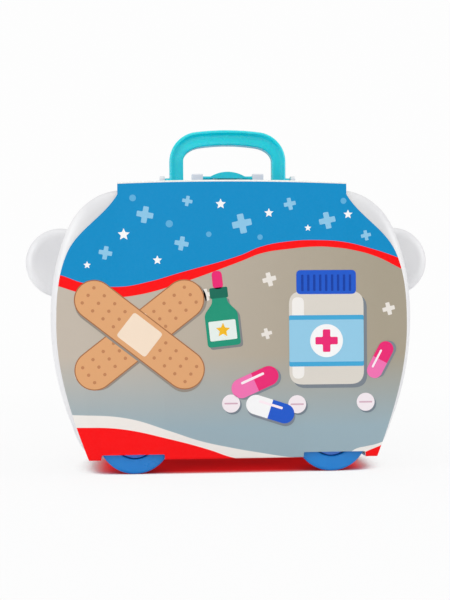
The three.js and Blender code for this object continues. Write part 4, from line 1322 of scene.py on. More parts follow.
@dataclass
class Sleeve(Assembly):
    """Half of the folded card sleeve: a panel, a strip over the top and one under the bottom."""

    form: Form
    side: Side
    thickness: float = 0.7
    half: float = 116.3
    widest: float = 98.0
    foot: float = 95.6
    base: float = 9.5
    neck: float = 76.0
    shoulder: tuple[float, float] = (109.0, 146.0)
    neck_drop: float = 6.5
    neck_heading: float = 120.0
    fold: float = 1.3
    face: float = 50.3
    seam_bow: float = 0.5
    front_bow: float = 1.7
    notches: tuple[float, float] = (-66.7, 67.0)
    notch_half: float = 20.75
    notch_top: float = 13.1
    notch_depth: float = 29.3
    reach: float = 60.0
    hinge_offset: float = 24.0
    hinge_gap: tuple[float, float] = (13.8, 4.0)
    front_window: tuple[float, float] = (26.5, 13.5)
    rear_window: tuple[float, float] = (49.8, 16.5)

    def outline(self) -> Array:
        """Panel outline, carried straight on past the folds at the top and bottom."""
        form = self.form
        neck_top = float(form.top_at(self.neck)) + 1.0
        right = np.concatenate([
            [[0, 5.0], [self.foot, 5.0]],
            bend((self.foot, self.base), (self.half, self.widest), form.heel_heading, 90, 30),
            bend((self.half, self.widest), self.shoulder, 90, form.shoulder_heading, 20)[1:],
            bend(self.shoulder, (self.neck, neck_top - self.neck_drop), form.shoulder_heading,
                 self.neck_heading, 30)[1:],
            [[self.neck, 200.0], [0, 200.0]],
        ])
        return mirrored(right)

    def bow(self) -> float:
        """How far the top strip stands off at its fold; the rear one clears the folded handle."""
        return self.front_bow if self.side is Side.FRONT else self.seam_bow

    def wrap(self, inner: bool) -> Solid:
        """The outside or the inside of the folded card: a slab with rounded folds, crowned on top.

        The top strip rises in a straight line from the seam to the fold.

        Args:
            inner: Whether it is the inside.

        Returns:
            A closed mesh that runs across the whole case.
        """
        card = 0.0 if inner else self.thickness
        deep = self.face + card
        low, high = self.base + self.thickness - card, SEAT + card
        radius = self.fold - (self.thickness if inner else 0.0)
        near = -2.0 if inner else SEAT / 2
        arc = np.linspace(0, math.pi / 2, 7)
        y = np.concatenate([[near], deep - radius + radius * np.sin(arc),
                            deep - radius + radius * np.cos(arc), [near]])
        up = np.concatenate([[0.0], radius * (1 - np.cos(arc)), 0 * arc, [0.0]])
        down = np.concatenate([[0.0], 0 * arc, radius * (1 - np.sin(arc)), [0.0]])
        lower = np.arange(len(y)) < 8
        bow = np.where(np.arange(len(y)) < len(y) - 1, self.bow(), self.seam_bow)
        x = np.linspace(-BEYOND, BEYOND, 80)[:, None]
        z = np.where(lower, low + up, self.form.top_at(x) + high + bow - down)
        return loft(np.stack([x + 0 * z, self.side.value * y + 0 * z, z], axis=-1))

    def make(self, print_: bpy.types.Material) -> None:
        """Builds the card and dresses it; faces that look outwards carry the print.

        Args:
            print_: The printed card.
        """
        sign, end, reach = self.side.value, self.side.end, self.reach
        card = Workpiece("card_sleeve_" + end, self.wrap(False))
        card.cut(self.wrap(True)).keep(prism(self.outline(), Axis.Y, *span(sign, -1.0, reach)))
        half, depths = self.notch_half, span(sign, self.notch_depth, reach)
        for x in self.notches:
            notch = softened(box_outline(x - half, x + half, 0.0, self.notch_top), 1.0)
            card.cut(prism(notch, Axis.Y, *depths))
        half, deep = self.hinge_gap
        for x in (-self.hinge_offset, self.hinge_offset):
            gap = softened(box_outline(x - half, x + half, -deep, deep), 1.0)
            card.cut(prism(gap, Axis.Z, 0, 10.4))
        half, deep = self.front_window if self.side is Side.FRONT else self.rear_window
        window = softened(box_outline(-half, half, -deep, deep), 1.5)
        obj = card.cut(prism(window, Axis.Z, 188.5, 206)).finished()
        normal, centre = face_rows(obj.data, "normal"), face_rows(obj.data, "center") / METRE
        top = self.form.top_at(centre[:, 0]) + SEAT + self.bow() + self.thickness
        crease = (centre[:, 2] > top - self.fold) & (np.abs(normal[:, 2]) < 0.98)
        outside = np.abs(centre[:, 1]) > self.face + self.thickness / 2
        outer = outside & (normal[:, 1] * sign > 0.3) & ~crease
        over = (normal[:, 2] > 0.98) & (centre[:, 2] > self.form.shoulder[1])
        under = (normal[:, 2] < -0.3) & (centre[:, 2] < self.base + self.thickness / 2)
        mark_printed(obj.data, outer | over | under)
        self.dress(obj, print_, self.side.body, "sleeve_card", "sleeve_" + end)


@dataclass
class SleeveArt(Assembly):
    """Generic printed motifs on a panel of the sleeve."""

    side: Side
    face: float = 51.0

    def sky(self, art: Motif) -> None:
        """Small plus signs, dots and stars in the blue field."""
        for x, z, size in ((-58, 171, 5.5), (-30, 180, 3.4), (6, 165, 6.5), (38, 178, 4),
                           (63, 167, 5.5), (-84, 146, 4.4), (-34, 152, 4.6), (89, 157, 3.4)):
            art.plus(x, z, size, (142, 200, 232), 12.0 if x > 0 else -10.0)
        for x, z, size in ((-72, 158, 4.2), (-8, 178, 3.6), (24, 172, 3.2), (77, 171, 3.2),
                           (50, 162, 2.4), (-50, 141, 3.2), (-96, 138, 2.6)):
            art.star(x, z, size, WHITE)
        for x, z, size in ((-42, 165, 2.4), (-16, 158, 1.8), (18, 156, 1.8), (74, 180, 2.0),
                           (-66, 182, 2.2)):
            art.add(circle(x, z, size, 32), (96, 176, 220))

    def jar(self, art: Motif, x: float, z: float) -> None:
        """A pill jar with a ribbed cap and a blue label."""
        glass = softened(box_outline(-25, 25, 0, 62), 9, 9)
        art.stamp(x, z, 0.0, (glass + [2.2, -2.4], (126, 134, 142), 1),
                  (glass, (222, 216, 206), 2),
                  (softened(box_outline(-23, -15, 4, 58), 4), (244, 241, 236), 3),
                  (softened(box_outline(-25, 25, 12, 46), 1), (70, 170, 216), 4),
                  (softened(box_outline(-25, 25, 15, 43), 1), SKY, 5),
                  (circle(0, 29, 11, 48), WHITE, 6))
        art.plus(x, z + 29, 7.5, ROSE, 0.0, 7)
        ribs = [(softened(box_outline(rib - 0.8, rib + 0.8, 62, 73), 0.6), (24, 66, 164), 4)
                for rib in np.linspace(-16, 16, 9)]
        art.stamp(x, z, 0.0, (softened(box_outline(-20, 20, 60, 76), 3), ROYAL, 3), *ribs)

    def dropper(self, art: Motif, x: float, z: float) -> None:
        """A small bottle with a pipette cap."""
        body = softened(np.array([[-11, 0], [11, 0], [11, 22], [5, 29], [5, 33], [-5, 33],
                                  [-5, 29], [-11, 22]]), 2.4)
        art.stamp(x, z, 6.0, (body + [1.4, -1.6], (132, 134, 136), 1),
                  (body, (36, 150, 120), 2),
                  (softened(box_outline(-9, 9, 4, 17), 1), (232, 242, 236), 3),
                  (softened(box_outline(-6, 6, 32, 39), 1), (28, 110, 90), 3),
                  (softened(box_outline(-3.4, 3.4, 38, 50), 3), ROSE, 3))
        art.star(x - 1, z + 10.5, 5, GOLD, 4)

    def make(self, ink: bpy.types.Material) -> None:
        """Lays out the motifs and dresses them.

        Args:
            ink: The printed ink.
        """
        art, side = Motif(), self.side
        self.sky(art)
        art.plaster(-62, 92, 50, 12.5, 38.0, 1)
        art.plaster(-62, 92, 50, 12.5, -38.0, 6)
        self.dropper(art, -6, 84)
        self.jar(art, 62, 58)
        art.capsule(14, 60, 10, 6.5, 24.0, (PINK, ROSE), 8)
        art.capsule(24, 42, 10, 6.5, -18.0, (WHITE, ROYAL), 8)
        art.capsule(98, 74, 8, 5.2, 62.0, (PINK, ROSE), 8)
        for x, z in ((42, 45), (-2, 46), (88, 46)):
            groove = softened(box_outline(x - 4.4, x + 4.4, z - 0.5, z + 0.5), 0.4)
            art.add(circle(x + 1, z - 1.2, 6, 40), (120, 132, 142), 8)
            art.add(circle(x, z, 6, 40), (246, 236, 240), 9)
            art.add(groove, (214, 176, 192), 10)
        for x, z, size in ((-18, 118, 4), (24, 128, 4.6), (104, 108, 4.2), (-100, 66, 4.4),
                           (22, 92, 3.6)):
            art.plus(x, z, size, (236, 230, 222), 14.0)
        obj = art.make(f"sleeve_motifs_{side.end}", side.value * self.face, side.value)
        self.dress(obj, ink, side.body, "sleeve_card")


@dataclass
class LidCard(Assembly):
    """The printed card inside the lid, cut round the wheel wells."""

    form: Form
    thickness: float = 0.7

    def make(self, panel: bpy.types.Material, ink: bpy.types.Material) -> None:
        """Builds the card and its motifs and dresses both.

        Args:
            panel: The printed card.
            ink: The printed ink.
        """
        form = self.form
        deep = form.depth - form.wall - SEAT
        outline = inset(form.outline(),
                        form.round_edge + form.wall + form.draft * form.depth + SEAT)
        card = Workpiece("lid_inner_card", prism(outline, Axis.Y, -deep, -deep + self.thickness))
        reach, through = form.well_radius + form.wall + 0.5, (-52, 0)
        for sign in (-1, 1):
            x, high = sign * form.wheel_offset, form.wheel_height + form.well_radius / 2
            card.cut(rod(Axis.Y, x, form.wheel_height, reach, *through, 0, 96))
            card.cut(brick(*sorted((x, sign * BEYOND)), *through, 0, high))
        obj = card.finished()
        mark_printed(obj.data, face_rows(obj.data, "normal")[:, 1] > 0.5)
        self.dress(obj, panel, "lid", "lid_card_print", "lid_card")
        art = Motif()
        for x in np.linspace(-80, 80, 9):
            art.plus(float(x), 163.0 - 0.0012 * float(x) ** 2, 4.2, WHITE, 0.0)
        art.add(stadium((-58, 116), (58, 116), 17.0), (226, 242, 250))
        for x, inks in ((-44, (WHITE, ROYAL)), (0, (WHITE, ROSE)), (44, (WHITE, GREEN))):
            art.capsule(float(x), 116, 9, 6, 28.0, inks, 2)
        for x in (-22, 22):
            art.star(float(x), 116, 6.5, GOLD, 2)
        for x in np.linspace(-30, 30, 5):
            art.add(circle(float(x), 62, 3.2, 32), WHITE)
            art.add(circle(float(x), 48, 2.2, 32), (190, 226, 244))
        for x in np.linspace(-84, 84, 13):
            art.add(circle(float(x), 82, 1.6, 24), (214, 238, 250))
        motifs = art.make("lid_card_motifs", -deep + self.thickness, 1)
        self.dress(motifs, ink, "lid", "lid_card_print")


@dataclass
class Tray(Assembly):
    """The blue inner tray: a height field with a sunk pocket for each toy."""

    form: Form
    plate: float = 9.0
    thickness: float = 1.2
    toy_depth: float = 12.0
    play: float = 0.6
    slope: float = 2.4

    def pockets(self, x: Array, z: Array) -> Array:
        """Depth of the tray: each pocket falls from the plate to its floor over its sloping wall.

        The fall is a smooth step, 3t^2 - 2t^3, of the distance from the toy's outline. A toy is a
        row of x and z at both ends of its middle line, half its width and half its thickness.

        Args:
            x: Places across.
            z: Heights.

        Returns:
            The depth y at each place.
        """
        arms, hose = Stethoscope().curves()
        tip = arms[0][-1], arms[1][-1]
        toys = [
            (tip[0][0], tip[0][2], tip[1][0], tip[1][2], 5.0, 5.0),
            (72.0, 64.4, 72.0, 122.5, 9.0, 9.0), (72.0, 52.4, 72.0, 61.4, 3.1, 3.1),
            (58.0, 122.5, 86.0, 122.5, 2.5, 10.2), (72.0, 122.5, 72.0, 172.5, 9.5, 9.5),
            (46.0, 59.6, 46.0, 137.6, 4.2, 4.2), (-86.0, 59.8, -86.0, 143.4, 4.4, 4.4),
            (-99.0, 143.4, -73.0, 143.4, 8.0, 8.0), (-54.2, 66.9, -40.2, 66.9, 11.5, 11.5),
            (8.0, 46.0, 8.0, 47.0, 13.0, 4.0), (-10.0, 92.0, -10.0, 93.0, 8.5, 5.0),
        ]
        toys += [(*a[[0, 2]], *b[[0, 2]], 3.2, 3.2) for line in (*arms, hose)
                 for a, b in zip(line[:-1:4], line[4::4])]
        deep = np.full(x.shape, self.plate)
        for x0, z0, x1, z1, radius, reach in toys:
            dx, dz = x1 - x0, z1 - z0
            along = np.clip(((x - x0) * dx + (z - z0) * dz) / (dx * dx + dz * dz + 1e-9), 0, 1)
            away = np.hypot(x - x0 - along * dx, z - z0 - along * dz) - radius - self.play
            t = np.clip(1 - away / self.slope, 0, 1)
            floor = self.toy_depth + reach + self.play
            deep = np.maximum(deep, self.plate + (floor - self.plate) * t * t * (3 - 2 * t))
        return deep

    def make(self, blue: bpy.types.Material) -> None:
        """Builds the tray and dresses it.

        Args:
            blue: The tray plastic.
        """
        form = self.form
        rim = inset(form.outline(60), form.wall + form.draft * (self.plate + self.thickness) + 0.5)
        low, high = float(rim[:, 1].min()), float(rim[:, 1].max())
        drop = form.top - high
        eaves = float(form.top_at(form.top_half)) - drop
        side = rim[(rim[:, 0] > form.top_half - drop - 1) & (rim[:, 1] < eaves)]
        side = side[np.argsort(side[:, 1])]
        part = np.linspace(0, 1, 165)
        rows = low + (eaves - low) * part
        reach = np.interp(rows, side[:, 1], side[:, 0])
        reach[0] = form.bottom_half - drop
        u = np.linspace(-1, 1, 215)
        x = reach[:, None] * u[None, :]
        z = rows[:, None] + np.maximum(form.top_at(x) - drop - eaves, 0) * part[:, None] ** 8
        y = self.pockets(x, z)
        front = np.stack([x, y, z], axis=-1).reshape(-1, 3)
        count, length = x.shape
        row, col = np.meshgrid(np.arange(count - 1), np.arange(length - 1), indexing="ij")
        a = row * length + col
        quads = np.stack([a, a + 1, a + length + 1, a + length], axis=-1).reshape(-1, 4)
        size = count * length
        edge = np.concatenate([np.arange(length), np.arange(1, count) * length + length - 1,
                               (count - 1) * length + np.arange(length - 2, -1, -1),
                               np.arange(count - 2, 0, -1) * length])
        after = np.roll(edge, -1)
        rim_faces = np.stack([edge, after, after + size, edge + size], axis=-1)
        faces = np.concatenate([quads, quads[:, ::-1] + size, rim_faces])
        solid = Solid(np.concatenate([front, front + [0, self.thickness, 0]]), faces.tolist())
        obj = Workpiece("formed_tray", solid).finished(crease=60.0)
        self.dress(obj, blue, "base", "tray_blue", "inner_tray")


@dataclass
class Stethoscope(Assembly):
    """Toy stethoscope: a headset of two tubes on a hub, a hose and a chest piece."""

    depth: float = 12.0
    foot: float = 92.0
    top: float = 158.0
    offset: float = 10.0
    half: float = 37.0
    tube: float = 3.2
    hub: float = 8.5
    tip: float = 5.0
    hose: float = 2.8
    chest: tuple[float, float] = (8.0, 46.0)
    chest_radius: float = 13.0
    chest_half: float = 4.0

    def curves(self) -> tuple[list[Array], Array]:
        """Centre lines of both ear tubes and of the hose."""
        rise = self.top - self.foot
        shape = np.array([[0.08, 0.06], [0.6, 0.14], [1, 0.42], [0.84, 0.8], [0.24, 1]])
        arms = []
        for way in (-1, 1):
            x = way * shape[:, 0] * self.half - self.offset
            height = self.foot + shape[:, 1] * rise
            arms.append(threaded(np.stack([x, 0 * x + self.depth, height], axis=1)))
        start, end = self.foot - self.hub, self.chest[1] + self.chest_radius
        places = [(-self.offset, start + 2), (-self.offset, start - self.hub),
                  (self.chest[0], end + self.hub), (self.chest[0], end + 0.3)]
        stops = np.array([[x, self.depth, z] for x, z in places])
        return arms, threaded(stops)

    def make(self, pink: bpy.types.Material, rubber: bpy.types.Material) -> None:
        """Builds the three pieces and dresses them.

        Args:
            pink: The toy plastic.
            rubber: The hose.
        """
        arms, hose = self.curves()
        y, radius = self.depth, self.hub - 1
        hub = rod(Axis.Y, -self.offset, self.foot, radius, y - 5, y + 5, 1.0, 72)
        plate = Workpiece("scope_headset", hub)
        for line in arms:
            at = np.linspace(0, 1, len(line))
            swell = self.tube + (self.tip - self.tube) * np.clip((at - 0.93) / 0.05, 0, 1) ** 2
            swell += 0.45 * ((at > 0.5) & (at < 0.53))
            plate.join(tube(line, swell, 32))
        plate.join(rod(Axis.Y, -self.offset, self.foot, 4.2, y - 5.4, y - 4, 0.4, 48))
        self.dress(plate.finished(crease=45.0), pink, "base", "toy_pink", "stethoscope_headset")
        line = hose[hose[:, 2] < self.foot - radius - 0.4]
        obj = Workpiece("scope_hose", tube(line, self.hose, 32, domes=False)).finished(crease=45.0)
        self.dress(obj, rubber, "base", "toy_hose", "stethoscope_hose")
        c, half = self.chest_radius, self.chest_half
        profile = np.array([[0, -half], [c - 3.2, -half], [c - 2, -half + 0.5], [c, -half + 2],
                            [c, half - 0.6], [c - 0.6, half], [c - 2, half],
                            [c - 2.5, half - 1], [0, half - 1]])
        disc = revolve(softened(profile, 0.5, 4, closed=False), Axis.Y, 96)
        piece = Workpiece("scope_chest_piece", disc.moved(self.chest[0], y, self.chest[1]))
        ring = revolve(np.array([[6.0, -half - 0.4], [7.2, -half - 0.4], [7.4, -half + 0.2],
                                 [5.8, -half + 0.2]]), Axis.Y, 72, closed=True)
        piece.join(ring.moved(self.chest[0], y, self.chest[1]))
        self.dress(piece.finished(crease=40.0), pink, "base", "toy_pink",
                   "stethoscope_chest_piece")


@dataclass
class Instruments(Assembly):
    """The other toys in the tray: syringe, thermometer, hammer and bulb."""

    depth: float = 12.0
    syringe: tuple[float, float, float] = (72.0, 61.4, 122.5)
    thermometer: tuple[float, float, float] = (46.0, 59.6, 137.6)
    hammer: tuple[float, float, float] = (-86.0, 59.8, 143.4)
    bulb: tuple[float, float] = (-47.2, 66.9)
    barrel: float = 9.0
    bore: float = 7.5
    wing: tuple[float, float] = (16.0, 10.2)
    out: float = 24.0
    piston: float = 27.0

    def upright(self, profile: list[list[float]], x: float, z: float, soft: float = 0.5,
                sides: int = 72, closed: bool = False) -> Solid:
        """A turned piece that stands up, from its profile of radius and height above a place."""
        shape = softened(np.array(profile, float), soft, 4, closed=closed)
        return revolve(shape, Axis.Z, sides, closed).moved(x, self.depth, z)

    def make_syringe(self, pink: bpy.types.Material, rose: bpy.types.Material) -> None:
        """Builds the barrel with raised marks and the ribbed plunger.

        Args:
            pink: Barrel plastic.
            rose: Plunger plastic.
        """
        x, foot, top = self.syringe
        length = top - foot
        outer, bore = self.barrel, self.bore
        profile = [[1.0, -9], [1.9, -9], [2.6, -0.5], [bore, 0], [outer, 1.5]]
        for at in np.arange(14.0, length - 14.0, 8.0):
            profile += [[outer, at - 0.9], [9.35, at - 0.4], [9.35, at + 0.4], [outer, at + 0.9]]
        profile += [[outer, length], [bore, length], [bore, 3], [1.0, 2.5]]
        barrel = Workpiece("syringe_body", self.upright(profile, x, foot, 0.25, closed=True))
        turn, (reach, deep) = np.arange(96) * TAU / 96, self.wing
        wing = np.stack([reach * np.cos(turn), deep * np.sin(turn)], axis=1)
        wing = wing / np.maximum(np.abs(wing[:, :1]) / reach, 0.999)
        plate = prism(wing + [x, self.depth], Axis.Z, top - 2, top, 0.6)
        barrel.join(plate).cut(rod(Axis.Z, x, self.depth, bore, foot + 3, top + 2, 0, 72))
        self.dress(barrel.finished(), pink, "base", "toy_pink", "syringe_barrel")
        thumb, piston = length + self.out, self.piston
        rods = [[0, piston], [6.6, piston], [7.2, piston + 0.6], [7.2, piston + 1.6],
                [6.6, piston + 2.1], [7.2, piston + 2.6], [7.2, piston + 4.4],
                [6.6, piston + 5], [0, piston + 5]]
        plunger = Workpiece("syringe_piston", self.upright(rods, x, foot, 0.3))
        cap = [[0, thumb], [8.9, thumb], [9.5, thumb + 0.6], [9.5, thumb + 1.4],
               [8.9, thumb + 2], [0, thumb + 2]]
        plunger.join(self.upright(cap, x, foot, 0.3))
        for w, d in ((5.0, 0.8), (0.8, 5.0)):
            plunger.join(brick(x - w, x + w, self.depth - d, self.depth + d, foot + piston + 1,
                               foot + thumb + 0.5))
        self.dress(plunger.finished(), rose, "plunger", "toy_rose", "syringe_plunger")

    def make_thermometer(self, rose: bpy.types.Material) -> None:
        """Builds the thermometer with rings along its stem."""
        x, foot, top = self.thermometer
        length = top - foot
        profile = [[0, 0], [1.7, 0.5], [2.2, 2.2], [2.2, 14], [4.2, 20]]
        for at in np.arange(34.0, length - 12.0, 6.0):
            profile += [[4.2, at - 0.7], [3.85, at - 0.3], [3.85, at + 0.3], [4.2, at + 0.7]]
        profile += [[4.2, length - 1.2], [3, length], [0, length]]
        obj = Workpiece("toy_thermometer", self.upright(profile, x, foot, 0.4)).finished()
        self.dress(obj, rose, "base", "toy_rose", "thermometer")

    def make_hammer(self, rose: bpy.types.Material, pink: bpy.types.Material) -> None:
        """Builds the head and the handle of the reflex hammer.

        Args:
            rose: Head plastic.
            pink: Handle plastic.
        """
        x, foot, top = self.hammer
        right = [[6.5, 4.4], [7.8, 10], [8, 13.8], [7.4, 15.3], [5.6, 16], [0, 16]]
        profile = np.array([[r, -a] for r, a in right[::-1]] + right, float)
        head = revolve(softened(profile, 0.9, 5, closed=False), Axis.X, 72)
        neck_top = top - 3.25
        socket = rod(Axis.Z, x, self.depth, 3.3, top - 16, neck_top + 0.3, 0, 48)
        obj = Workpiece("hammer_head_turned", head.moved(x, self.depth, top)).cut(socket).finished()
        self.dress(obj, rose, "base", "toy_rose", "hammer_head")
        shaft = [[0, -1.4], [3, -1.4], [4.4, 0]]
        for at in (8.0, 14.0, 20.0, 26.0):
            shaft += [[4.4, at - 1], [3.9, at - 0.4], [3.9, at + 0.4], [4.4, at + 1]]
        shaft += [[4.4, 34], [3, 40], [3, neck_top - foot], [0, neck_top - foot]]
        grip = Workpiece("hammer_grip_turned", self.upright(shaft, x, foot, 0.4)).finished()
        self.dress(grip, pink, "base", "toy_pink", "hammer_handle")

    def make_bulb(self, rose: bpy.types.Material) -> None:
        """Builds the squeeze bulb: a smooth curve through the stations of its profile."""
        x, z = self.bulb
        spots = np.array([[2.9, 0, -18], [3.4, 0, -15.4], [5.6, 0, -13], [8.6, 0, -9.8],
                          [11.2, 0, -3.5], [11.4, 0, 2.5], [9.6, 0, 10], [6.2, 0, 15],
                          [1.5, 0, 17.9]])
        line = threaded(spots, 8)[:, [0, 2]]
        profile = np.concatenate([[[0, -18]], line, [[0, 18]]])
        obj = Workpiece("squeeze_bulb", revolve(profile, Axis.X, 72).moved(x, self.depth, z))
        self.dress(obj.finished(crease=50.0), rose, "base", "toy_rose", "pump_bulb")


@dataclass
class Studio:
    """Pale floor, plain soft lamps and the camera at the photograph's height and angle.

    Lengths here are in metres. A lamp is a row of name, place, width and watts.
    """
    """Pale floor, plain soft lamps and the camera at the photograph's height and angle."""

    azimuth: float = -4.2
    distance: float = 0.820
    height: float = 0.1145
    focal: float = 1163.0
    image_height: float = 600.0
    sensor: float = 36.0
    aim: tuple[float, float] = (-0.0018, 0.0001)
    roll: float = 0.4
    table: float = 6.0
    shade: tuple[float, float] = (0.28, 0.45)
    # cast and cast_depth: footprint half-widths and open-sky range of the painted red reflection
    # and glow under the card
    cast: tuple[float, float] = (0.092, 0.05)
    cast_depth: tuple[float, float] = (0.1, 0.36)
    # strength of the painted red glow that the floor emits under the card
    glow: float = 0.09
    sheen: float = 0.12
    daylight: float = 0.55
    white: float = 0.985
    open_sky: float = 0.09
    grey: Colour = (236, 236, 237)
    # colour of the painted red reflection of the card foot on the floor
    painted_red_reflection: Colour = (255, 80, 84)
    # colour of the painted red glow emitted by the floor under the card
    painted_red_glow: Colour = (255, 60, 66)
    lamps: tuple[tuple[str, tuple[float, float, float], float, float], ...] = (
        ("left", (-1.5, -0.45, 0.6), 1.0, 10.5), ("right", (1.5, -0.35, 0.6), 1.0, 9.5),
        ("front", (-0.3, -1.6, 0.9), 1.2, 3.5), ("top", (0.0, 0.05, 1.5), 1.4, 7.5))

    def camera(self) -> None:
        """Puts the camera left of the front, looking level with a slight roll, and uses it."""
        turn = math.radians(self.azimuth)
        data = bpy.data.cameras.new("camera")
        data.sensor_fit = "VERTICAL"
        data.sensor_height = self.sensor
        data.lens = self.focal / self.image_height * self.sensor
        data.clip_end = 50.0
        camera = bpy.data.objects.new("camera", data)
        camera.location = (self.aim[0] + self.distance * math.sin(turn),
                           self.aim[1] - self.distance * math.cos(turn), self.height)
        camera.rotation_euler = (math.pi / 2, math.radians(self.roll), turn)
        bpy.context.scene.collection.objects.link(camera)
        bpy.context.scene.camera = camera

    def lamp(self, name: str, place: tuple[float, float, float], size: float,
             power: float) -> None:
        """Adds one soft square lamp that looks at the middle of the case.

        Args:
            name: Name of the lamp.
            place: Its centre in metres.
            size: Its width and height in metres.
            power: Power in watts.
        """
        data = bpy.data.lights.new(name, "AREA")
        data.shape = "SQUARE"
        data.size = size
        data.energy = power
        lamp = bpy.data.objects.new(name, data)
        lamp.location = place
        way = Vector((self.aim[0], self.aim[1], self.height)) - Vector(place)
        lamp.rotation_euler = way.to_track_quat("-Z", "Y").to_euler()
        bpy.context.scene.collection.objects.link(lamp)

    def floor(self) -> None:
        """A pale table that the camera sees where the case shades it, with the white room past it.

        The surface shows by 1 less a smooth step of how open the sky is over it. Where the red foot
        of the card lies close over it, the surface carries a painted red reflection in its colour
        and a painted red glow as emission. It is see-through from below, so that a lid that hangs
        lower than the wheels is seen too, and it lets the lamps through.
        """
        outline = circle(0.0, 0.0, self.table)
        rim = np.column_stack([outline, 0 * outline[:, 0] - 0.0002])
        obj = build("table", Solid(rim / METRE, [list(range(len(rim)))]))
        nodes = Nodes("pale_table")
        length = nodes.add("ShaderNodeVectorMath", {0: nodes.place}, operation="LENGTH").outputs[1]
        far = nodes.spread(length, 0.0, 1.0, 0.2, 0.7)
        sky = nodes.add("ShaderNodeAmbientOcclusion", {"Distance": self.open_sky},
                        samples=24).outputs["AO"]
        clear = nodes.add("ShaderNodeMapRange", {"Value": sky, "From Min": self.shade[0],
                                                 "From Max": self.shade[1]},
                          interpolation_type="SMOOTHSTEP").outputs[0]
        gloss = nodes.math("ADD", 1 - self.sheen, nodes.math("MULTIPLY", far, self.sheen))
        rough = nodes.spread(nodes.noise(9.0, 3.0), 0.2, 0.26)
        spot = nodes.add("ShaderNodeSeparateXYZ", {0: nodes.place})
        away = [nodes.math("DIVIDE", nodes.math("ABSOLUTE", spot.outputs[i]), self.cast[i])
                for i in (0, 1)]
        under = nodes.spread(nodes.math("MAXIMUM", *away), 1.0, 0.0, 0.94, 1.04)
        # mask of the painted red reflection and glow: inside the card's footprint, where the sky is
        # shut
        red = nodes.math("MULTIPLY", under, nodes.spread(sky, 1.0, 0.0, *self.cast_depth))
        # painted red reflection: the floor's own colour turns red under the card
        tone = nodes.mix(red, linear(self.grey), linear(self.painted_red_reflection))
        # painted red glow: red emission under the card, black elsewhere
        painted_glow_colour = nodes.mix(red, linear((0, 0, 0)), linear(self.painted_red_glow))
        # the emission here is a painted red glow standing in for light thrown down by the red card
        nodes.shade(Base_Color=tone, Roughness=rough, Specular_IOR_Level=0.0,
                    Emission_Color=painted_glow_colour, Emission_Strength=self.glow)
        path = nodes.add("ShaderNodeLightPath")
        least = nodes.math("MINIMUM", clear, gloss)
        seen = nodes.math("MULTIPLY", path.outputs["Is Camera Ray"], least)
        below = nodes.add("ShaderNodeNewGeometry").outputs["Backfacing"]
        lit = nodes.math("MAXIMUM", below, path.outputs["Is Shadow Ray"])
        through = nodes.add("ShaderNodeBsdfTransparent").outputs[0]
        blend = nodes.add("ShaderNodeMixShader", {0: nodes.math("MAXIMUM", seen, lit),
                                                  1: nodes.shader.outputs[0], 2: through})
        output = nodes.tree.nodes["Material Output"]
        nodes.tree.links.new(blend.outputs[0], output.inputs["Surface"])
        obj.data.materials.append(nodes.material)

    def world(self) -> None:
        """An even white room, a little lower as light and in gloss than to the camera."""
        world = bpy.data.worlds.new("room")
        bpy.context.scene.world = world
        world.use_nodes = True
        tree = world.node_tree
        back = tree.nodes["Background"]
        path = tree.nodes.new("ShaderNodeLightPath")
        seen = tree.nodes.new("ShaderNodeMath")
        seen.operation = "MAXIMUM"
        tree.links.new(path.outputs["Is Camera Ray"], seen.inputs[0])
        tree.links.new(path.outputs["Is Transmission Ray"], seen.inputs[1])
        level = tree.nodes.new("ShaderNodeMapRange")
        level.inputs["To Min"].default_value = self.daylight
        level.inputs["To Max"].default_value = self.white
        tree.links.new(seen.outputs[0], level.inputs["Value"])
        tree.links.new(level.outputs[0], back.inputs["Strength"])
        back.inputs["Color"].default_value = (1.0, 1.0, 1.0, 1.0)

    def make(self) -> None:
        """Sets up the whole studio."""
        scene = bpy.context.scene
        scene.view_settings.view_transform = "Standard"
        self.camera()
        self.world()
        self.floor()
        for lamp in self.lamps:
            self.lamp(*lamp)
        log.info("studio: camera, table and four lamps")


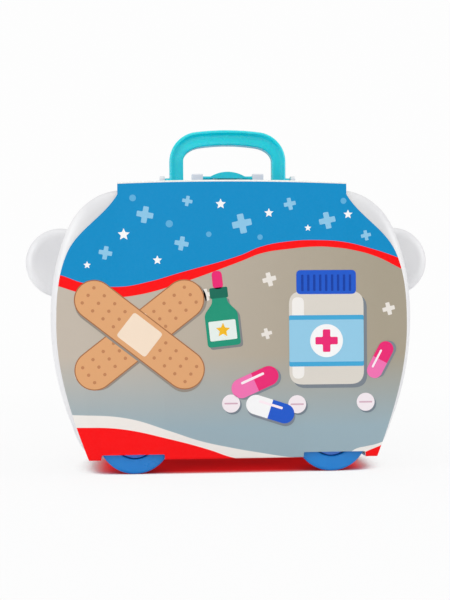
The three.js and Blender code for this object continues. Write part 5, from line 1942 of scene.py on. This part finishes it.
def make_finishes() -> dict[str, bpy.types.Material]:
    """Makes every material once.

    Returns:
        The materials by the name of the finish.
    """
    fields = ((RED, WAVE_TOP), (BEIGE, WAVE_FOOT), (PAPER, SWOOSH_TOP), (RED, WEDGE_TOP),
              (RED, BASE_EDGE))
    finishes = [
        Moulded("white_shell", (219, 219, 221), (226, 226, 227), 0.36),
        Moulded("teal_moulding", (6, 206, 215), (10, 214, 224), 0.3, glow=0.3),
        Moulded("blue_wheel", (8, 128, 212), (12, 136, 220), 0.32),
        Moulded("blue_cap", (70, 128, 222), (78, 136, 230), 0.34),
        Moulded("tray_moulding", (34, 84, 188), (38, 92, 200), 0.3),
        Moulded("pink_toy", (242, 118, 180), (247, 132, 190), 0.3),
        Moulded("rose_toy", (236, 44, 114), (242, 60, 128), 0.3),
        Moulded("hose_rubber", (240, 226, 234), (246, 236, 240), 0.45),
        Steel(),
        Print("sleeve_print", (12, 142, 200), fields, BEIGE),
        Print("lid_print", (84, 178, 220), (((126, 198, 228), ((-125, 139), (0, 139), (125, 139))),
                                            ((84, 178, 220), ((-125, 93), (0, 93), (125, 93))))),
        Ink(),
    ]
    return {finish.name: finish.material() for finish in finishes}


def main() -> None:
    """Builds the case in the order in which it is put together."""
    logging.basicConfig(level=logging.INFO, format="%(name)s %(message)s")
    finish = make_finishes()
    form = Form()
    Studio().make()
    for side in Side:
        ShellHalf(form, side).make(finish["white_shell"])
    Handle().make(finish["teal_moulding"])
    Latch().make(finish["teal_moulding"])
    Wheel(form).make({"wheel": (finish["blue_wheel"], "wheel_blue"),
                      "hub_cap": (finish["blue_cap"], "wheel_blue"),
                      "wheel_screw": (finish["zinc_steel"], "steel")})
    HingePins().make(finish["zinc_steel"])
    for side in Side:
        Sleeve(form, side).make(finish["sleeve_print"])
        SleeveArt(side).make(finish["printed_motifs"])
    LidCard(form).make(finish["lid_print"], finish["printed_motifs"])
    Tray(form).make(finish["tray_moulding"])
    Stethoscope().make(finish["pink_toy"], finish["hose_rubber"])
    toys = Instruments()
    toys.make_syringe(finish["pink_toy"], finish["rose_toy"])
    toys.make_thermometer(finish["rose_toy"])
    toys.make_hammer(finish["rose_toy"], finish["pink_toy"])
    toys.make_bulb(finish["rose_toy"])


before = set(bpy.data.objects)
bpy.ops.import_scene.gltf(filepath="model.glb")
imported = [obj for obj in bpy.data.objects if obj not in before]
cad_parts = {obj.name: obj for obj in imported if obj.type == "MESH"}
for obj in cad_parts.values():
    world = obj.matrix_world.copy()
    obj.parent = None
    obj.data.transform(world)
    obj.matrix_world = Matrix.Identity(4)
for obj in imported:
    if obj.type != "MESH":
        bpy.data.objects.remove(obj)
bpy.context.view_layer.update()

if __name__ == "__main__":
    main()
